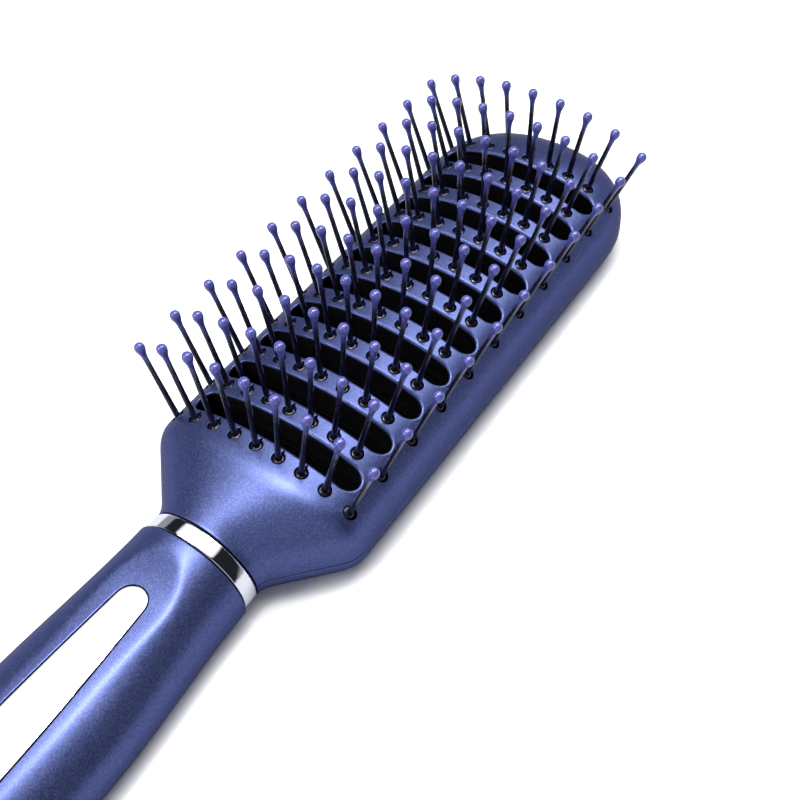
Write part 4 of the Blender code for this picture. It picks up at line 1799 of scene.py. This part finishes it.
@dataclass
class Studio:
    """White floor, soft light and the camera.

    Attributes:
        camera_place: Where the camera stands.
        camera_aim: The point that it faces.
        camera_roll: How far it is turned about its view.
        lens: Focal length for a sensor 36 mm wide.
        dark: Colour of the studio between its pale parts.
        patches: The ceiling, the floor's sweep and the walls behind the camera and beyond the tip.
        level: Strength of the studio's own light.
        near: Distance to which the floor takes its light from the lamps.
        far: Distance from which it is plain white.
        floor_radius: Radius of the floor.
        floor_gap: How far the floor lies below the brush.
        paper: Colour of the floor in the light that it sends back.
        mirrored: Colour of the floor in a mirror.
        lamps: The lamps.
    """

    camera_place: tuple[float, float, float] = (-0.07476, -0.09846, 0.17907)
    camera_aim: tuple[float, float, float] = (0.03672, -0.01093, 0.0100)
    camera_roll: float = math.radians(-4.632)
    lens: float = 48.62
    dark: str = "#1E2024"
    patches: tuple[SkyPatch, ...] = (
        SkyPatch((0.25, 0.15, 1.0), 0.82, 0.88, WHITE),
        SkyPatch((0.0, 0.16, -1.0), -0.22, -0.12, "#8C9098"),
        SkyPatch((-0.9, -0.2, 0.1), 0.35, 0.60, "#B4B8C0"),
        SkyPatch((0.8, -0.45, -0.35), 0.60, 0.72, "#A4A8B0"),
    )
    level: float = 1.15
    near: float = 0.22
    far: float = 0.55
    floor_radius: float = 6.0
    floor_gap: float = 0.00002
    paper: str = "#C0C1C6"
    mirrored: str = "#BCBEC6"
    lamps: tuple[Lamp, ...] = (
        Lamp("overhead", (0.09, 0.08, 0.71), (0.0, 0.0, 0.01), (0.44, 0.38), 3.1),
        Lamp("overhead_spark", (0.07, 0.06, 0.70), (0.0, 0.0, 0.01), (0.10, 0.10), 1.1),
        Lamp("butt_end_fill", (-0.48, 0.30, 0.40), (0.03, 0.0, 0.01), (0.30, 0.30), 2.6),
        Lamp("tip_end_fill", (0.52, -0.07, 0.64), (0.06, 0.0, 0.01), (0.42, 0.42), 3.0),
    )

    def camera(self) -> None:
        """Places the camera at the photograph's viewing angle."""
        data = bpy.data.cameras.new("camera")
        data.lens = self.lens
        data.sensor_width = 36.0
        data.clip_start = 0.005
        data.clip_end = 50.0
        camera = bpy.data.objects.new("camera", data)
        bpy.context.scene.collection.objects.link(camera)
        roll = Matrix.Rotation(self.camera_roll, 4, "Z")
        camera.matrix_world = facing(self.camera_place, self.camera_aim) @ roll
        bpy.context.scene.camera = camera

    def looked_at(self, tree: bpy.types.NodeTree) -> bpy.types.NodeSocket:
        """Gives 1 for what the camera, a mirror or a clear piece shows, and 0 for stray light.

        Args:
            tree: Node tree that the nodes go in.

        Returns:
            The value.
        """
        seen = add_node(tree, "ShaderNodeLightPath", output="Is Camera Ray")
        for name in ("Is Glossy Ray", "Is Transmission Ray"):
            ray = add_node(tree, "ShaderNodeLightPath", output=name)
            seen = add_node(tree, "ShaderNodeMath", {0: seen, 1: ray}, operation="MAXIMUM")
        return seen

    def floor(self) -> None:
        """Lays the white floor, which keeps the brush's shadow."""
        place = (0.0, 0.0, -self.floor_gap)
        bpy.ops.mesh.primitive_circle_add(
            vertices=96, radius=self.floor_radius, fill_type="NGON", location=place
        )
        floor = placed("floor")
        # Plain paper: white to the eye, with the soft shadow of the brush, and no gloss.
        material, tree, shader = new_material("white_seamless_paper")
        color = linear(self.paper)
        fill(tree, shader, {"Base Color": color, "Roughness": 0.9, "Specular IOR Level": 0.1})
        direct = add_node(tree, "ShaderNodeLightPath", output="Is Camera Ray")
        paper = add_node(
            tree, "ShaderNodeMix", {"Factor": direct, 6: linear(self.mirrored), 7: linear(WHITE)},
            2, data_type="RGBA",
        )
        white = add_node(tree, "ShaderNodeBsdfDiffuse", {"Color": paper})
        glow = add_node(tree, "ShaderNodeEmission", {"Color": paper, "Strength": 1.0})
        place = add_node(tree, "ShaderNodeTexCoord", output="Object")
        distance = add_node(tree, "ShaderNodeVectorMath", {0: place}, "Value", operation="LENGTH")
        limits = {"Value": distance, "From Min": self.near, "From Max": self.far}
        far = add_node(tree, "ShaderNodeMapRange", limits, interpolation_type="SMOOTHSTEP")
        bright = add_node(tree, "ShaderNodeMixShader", {0: far, 1: white, 2: glow})
        seen = self.looked_at(tree)
        both = add_node(tree, "ShaderNodeMixShader", {0: seen, 1: shader.outputs[0], 2: bright})
        fill(tree, tree.nodes["Material Output"], {"Surface": both})
        wear(floor, material)

    def world(self) -> None:
        """Surrounds the brush with a pale studio that looks white to the camera."""
        world = bpy.data.worlds.new("studio")
        bpy.context.scene.world = world
        world.use_nodes = True
        tree = world.node_tree
        tree.nodes.clear()
        seen = add_node(tree, "ShaderNodeLightPath", output="Is Camera Ray")
        way = add_node(tree, "ShaderNodeTexCoord", output="Generated")
        color: object = linear(self.dark)
        for patch in self.patches:
            pair = {0: way, 1: patch.lean}
            dot = add_node(tree, "ShaderNodeVectorMath", pair, "Value", operation="DOT_PRODUCT")
            limits = {"Value": dot, "From Min": patch.low, "From Max": patch.high}
            share = add_node(tree, "ShaderNodeMapRange", limits, interpolation_type="SMOOTHSTEP")
            pale = {"Factor": share, 6: color, 7: linear(patch.color)}
            color = add_node(tree, "ShaderNodeMix", pale, 2, data_type="RGBA")
        soft = add_node(tree, "ShaderNodeBackground", {"Color": color, "Strength": self.level})
        white = add_node(tree, "ShaderNodeBackground", {"Color": linear(WHITE), "Strength": 1.0})
        mixed = add_node(tree, "ShaderNodeMixShader", {0: seen, 1: soft, 2: white})
        add_node(tree, "ShaderNodeOutputWorld", {"Surface": mixed})

    def build(self) -> None:
        """Sets the stage."""
        bpy.context.scene.view_settings.view_transform = "Standard"
        self.camera()
        self.floor()
        self.world()
        for lamp in self.lamps:
            lamp.build()


def main() -> None:
    """Builds the brush and its studio."""
    logging.basicConfig(level=logging.INFO, format="%(message)s")
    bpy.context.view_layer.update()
    finishes = Finishes(
        SatinLacquer().build(), MOULDED_NYLON.build(), DippedLacquer().build(),
        CHROME_PLATING.build(), BLACK_ABS_AND_PAINTED_SHADE.build(),
    )
    form = HeadForm()
    Head(form, finishes).build()
    PinField(form, finishes).build()
    Ring(form, finishes).build()
    Handle(HandleForm(), finishes).build()
    Studio().build()


if __name__ == "__main__":
    main()
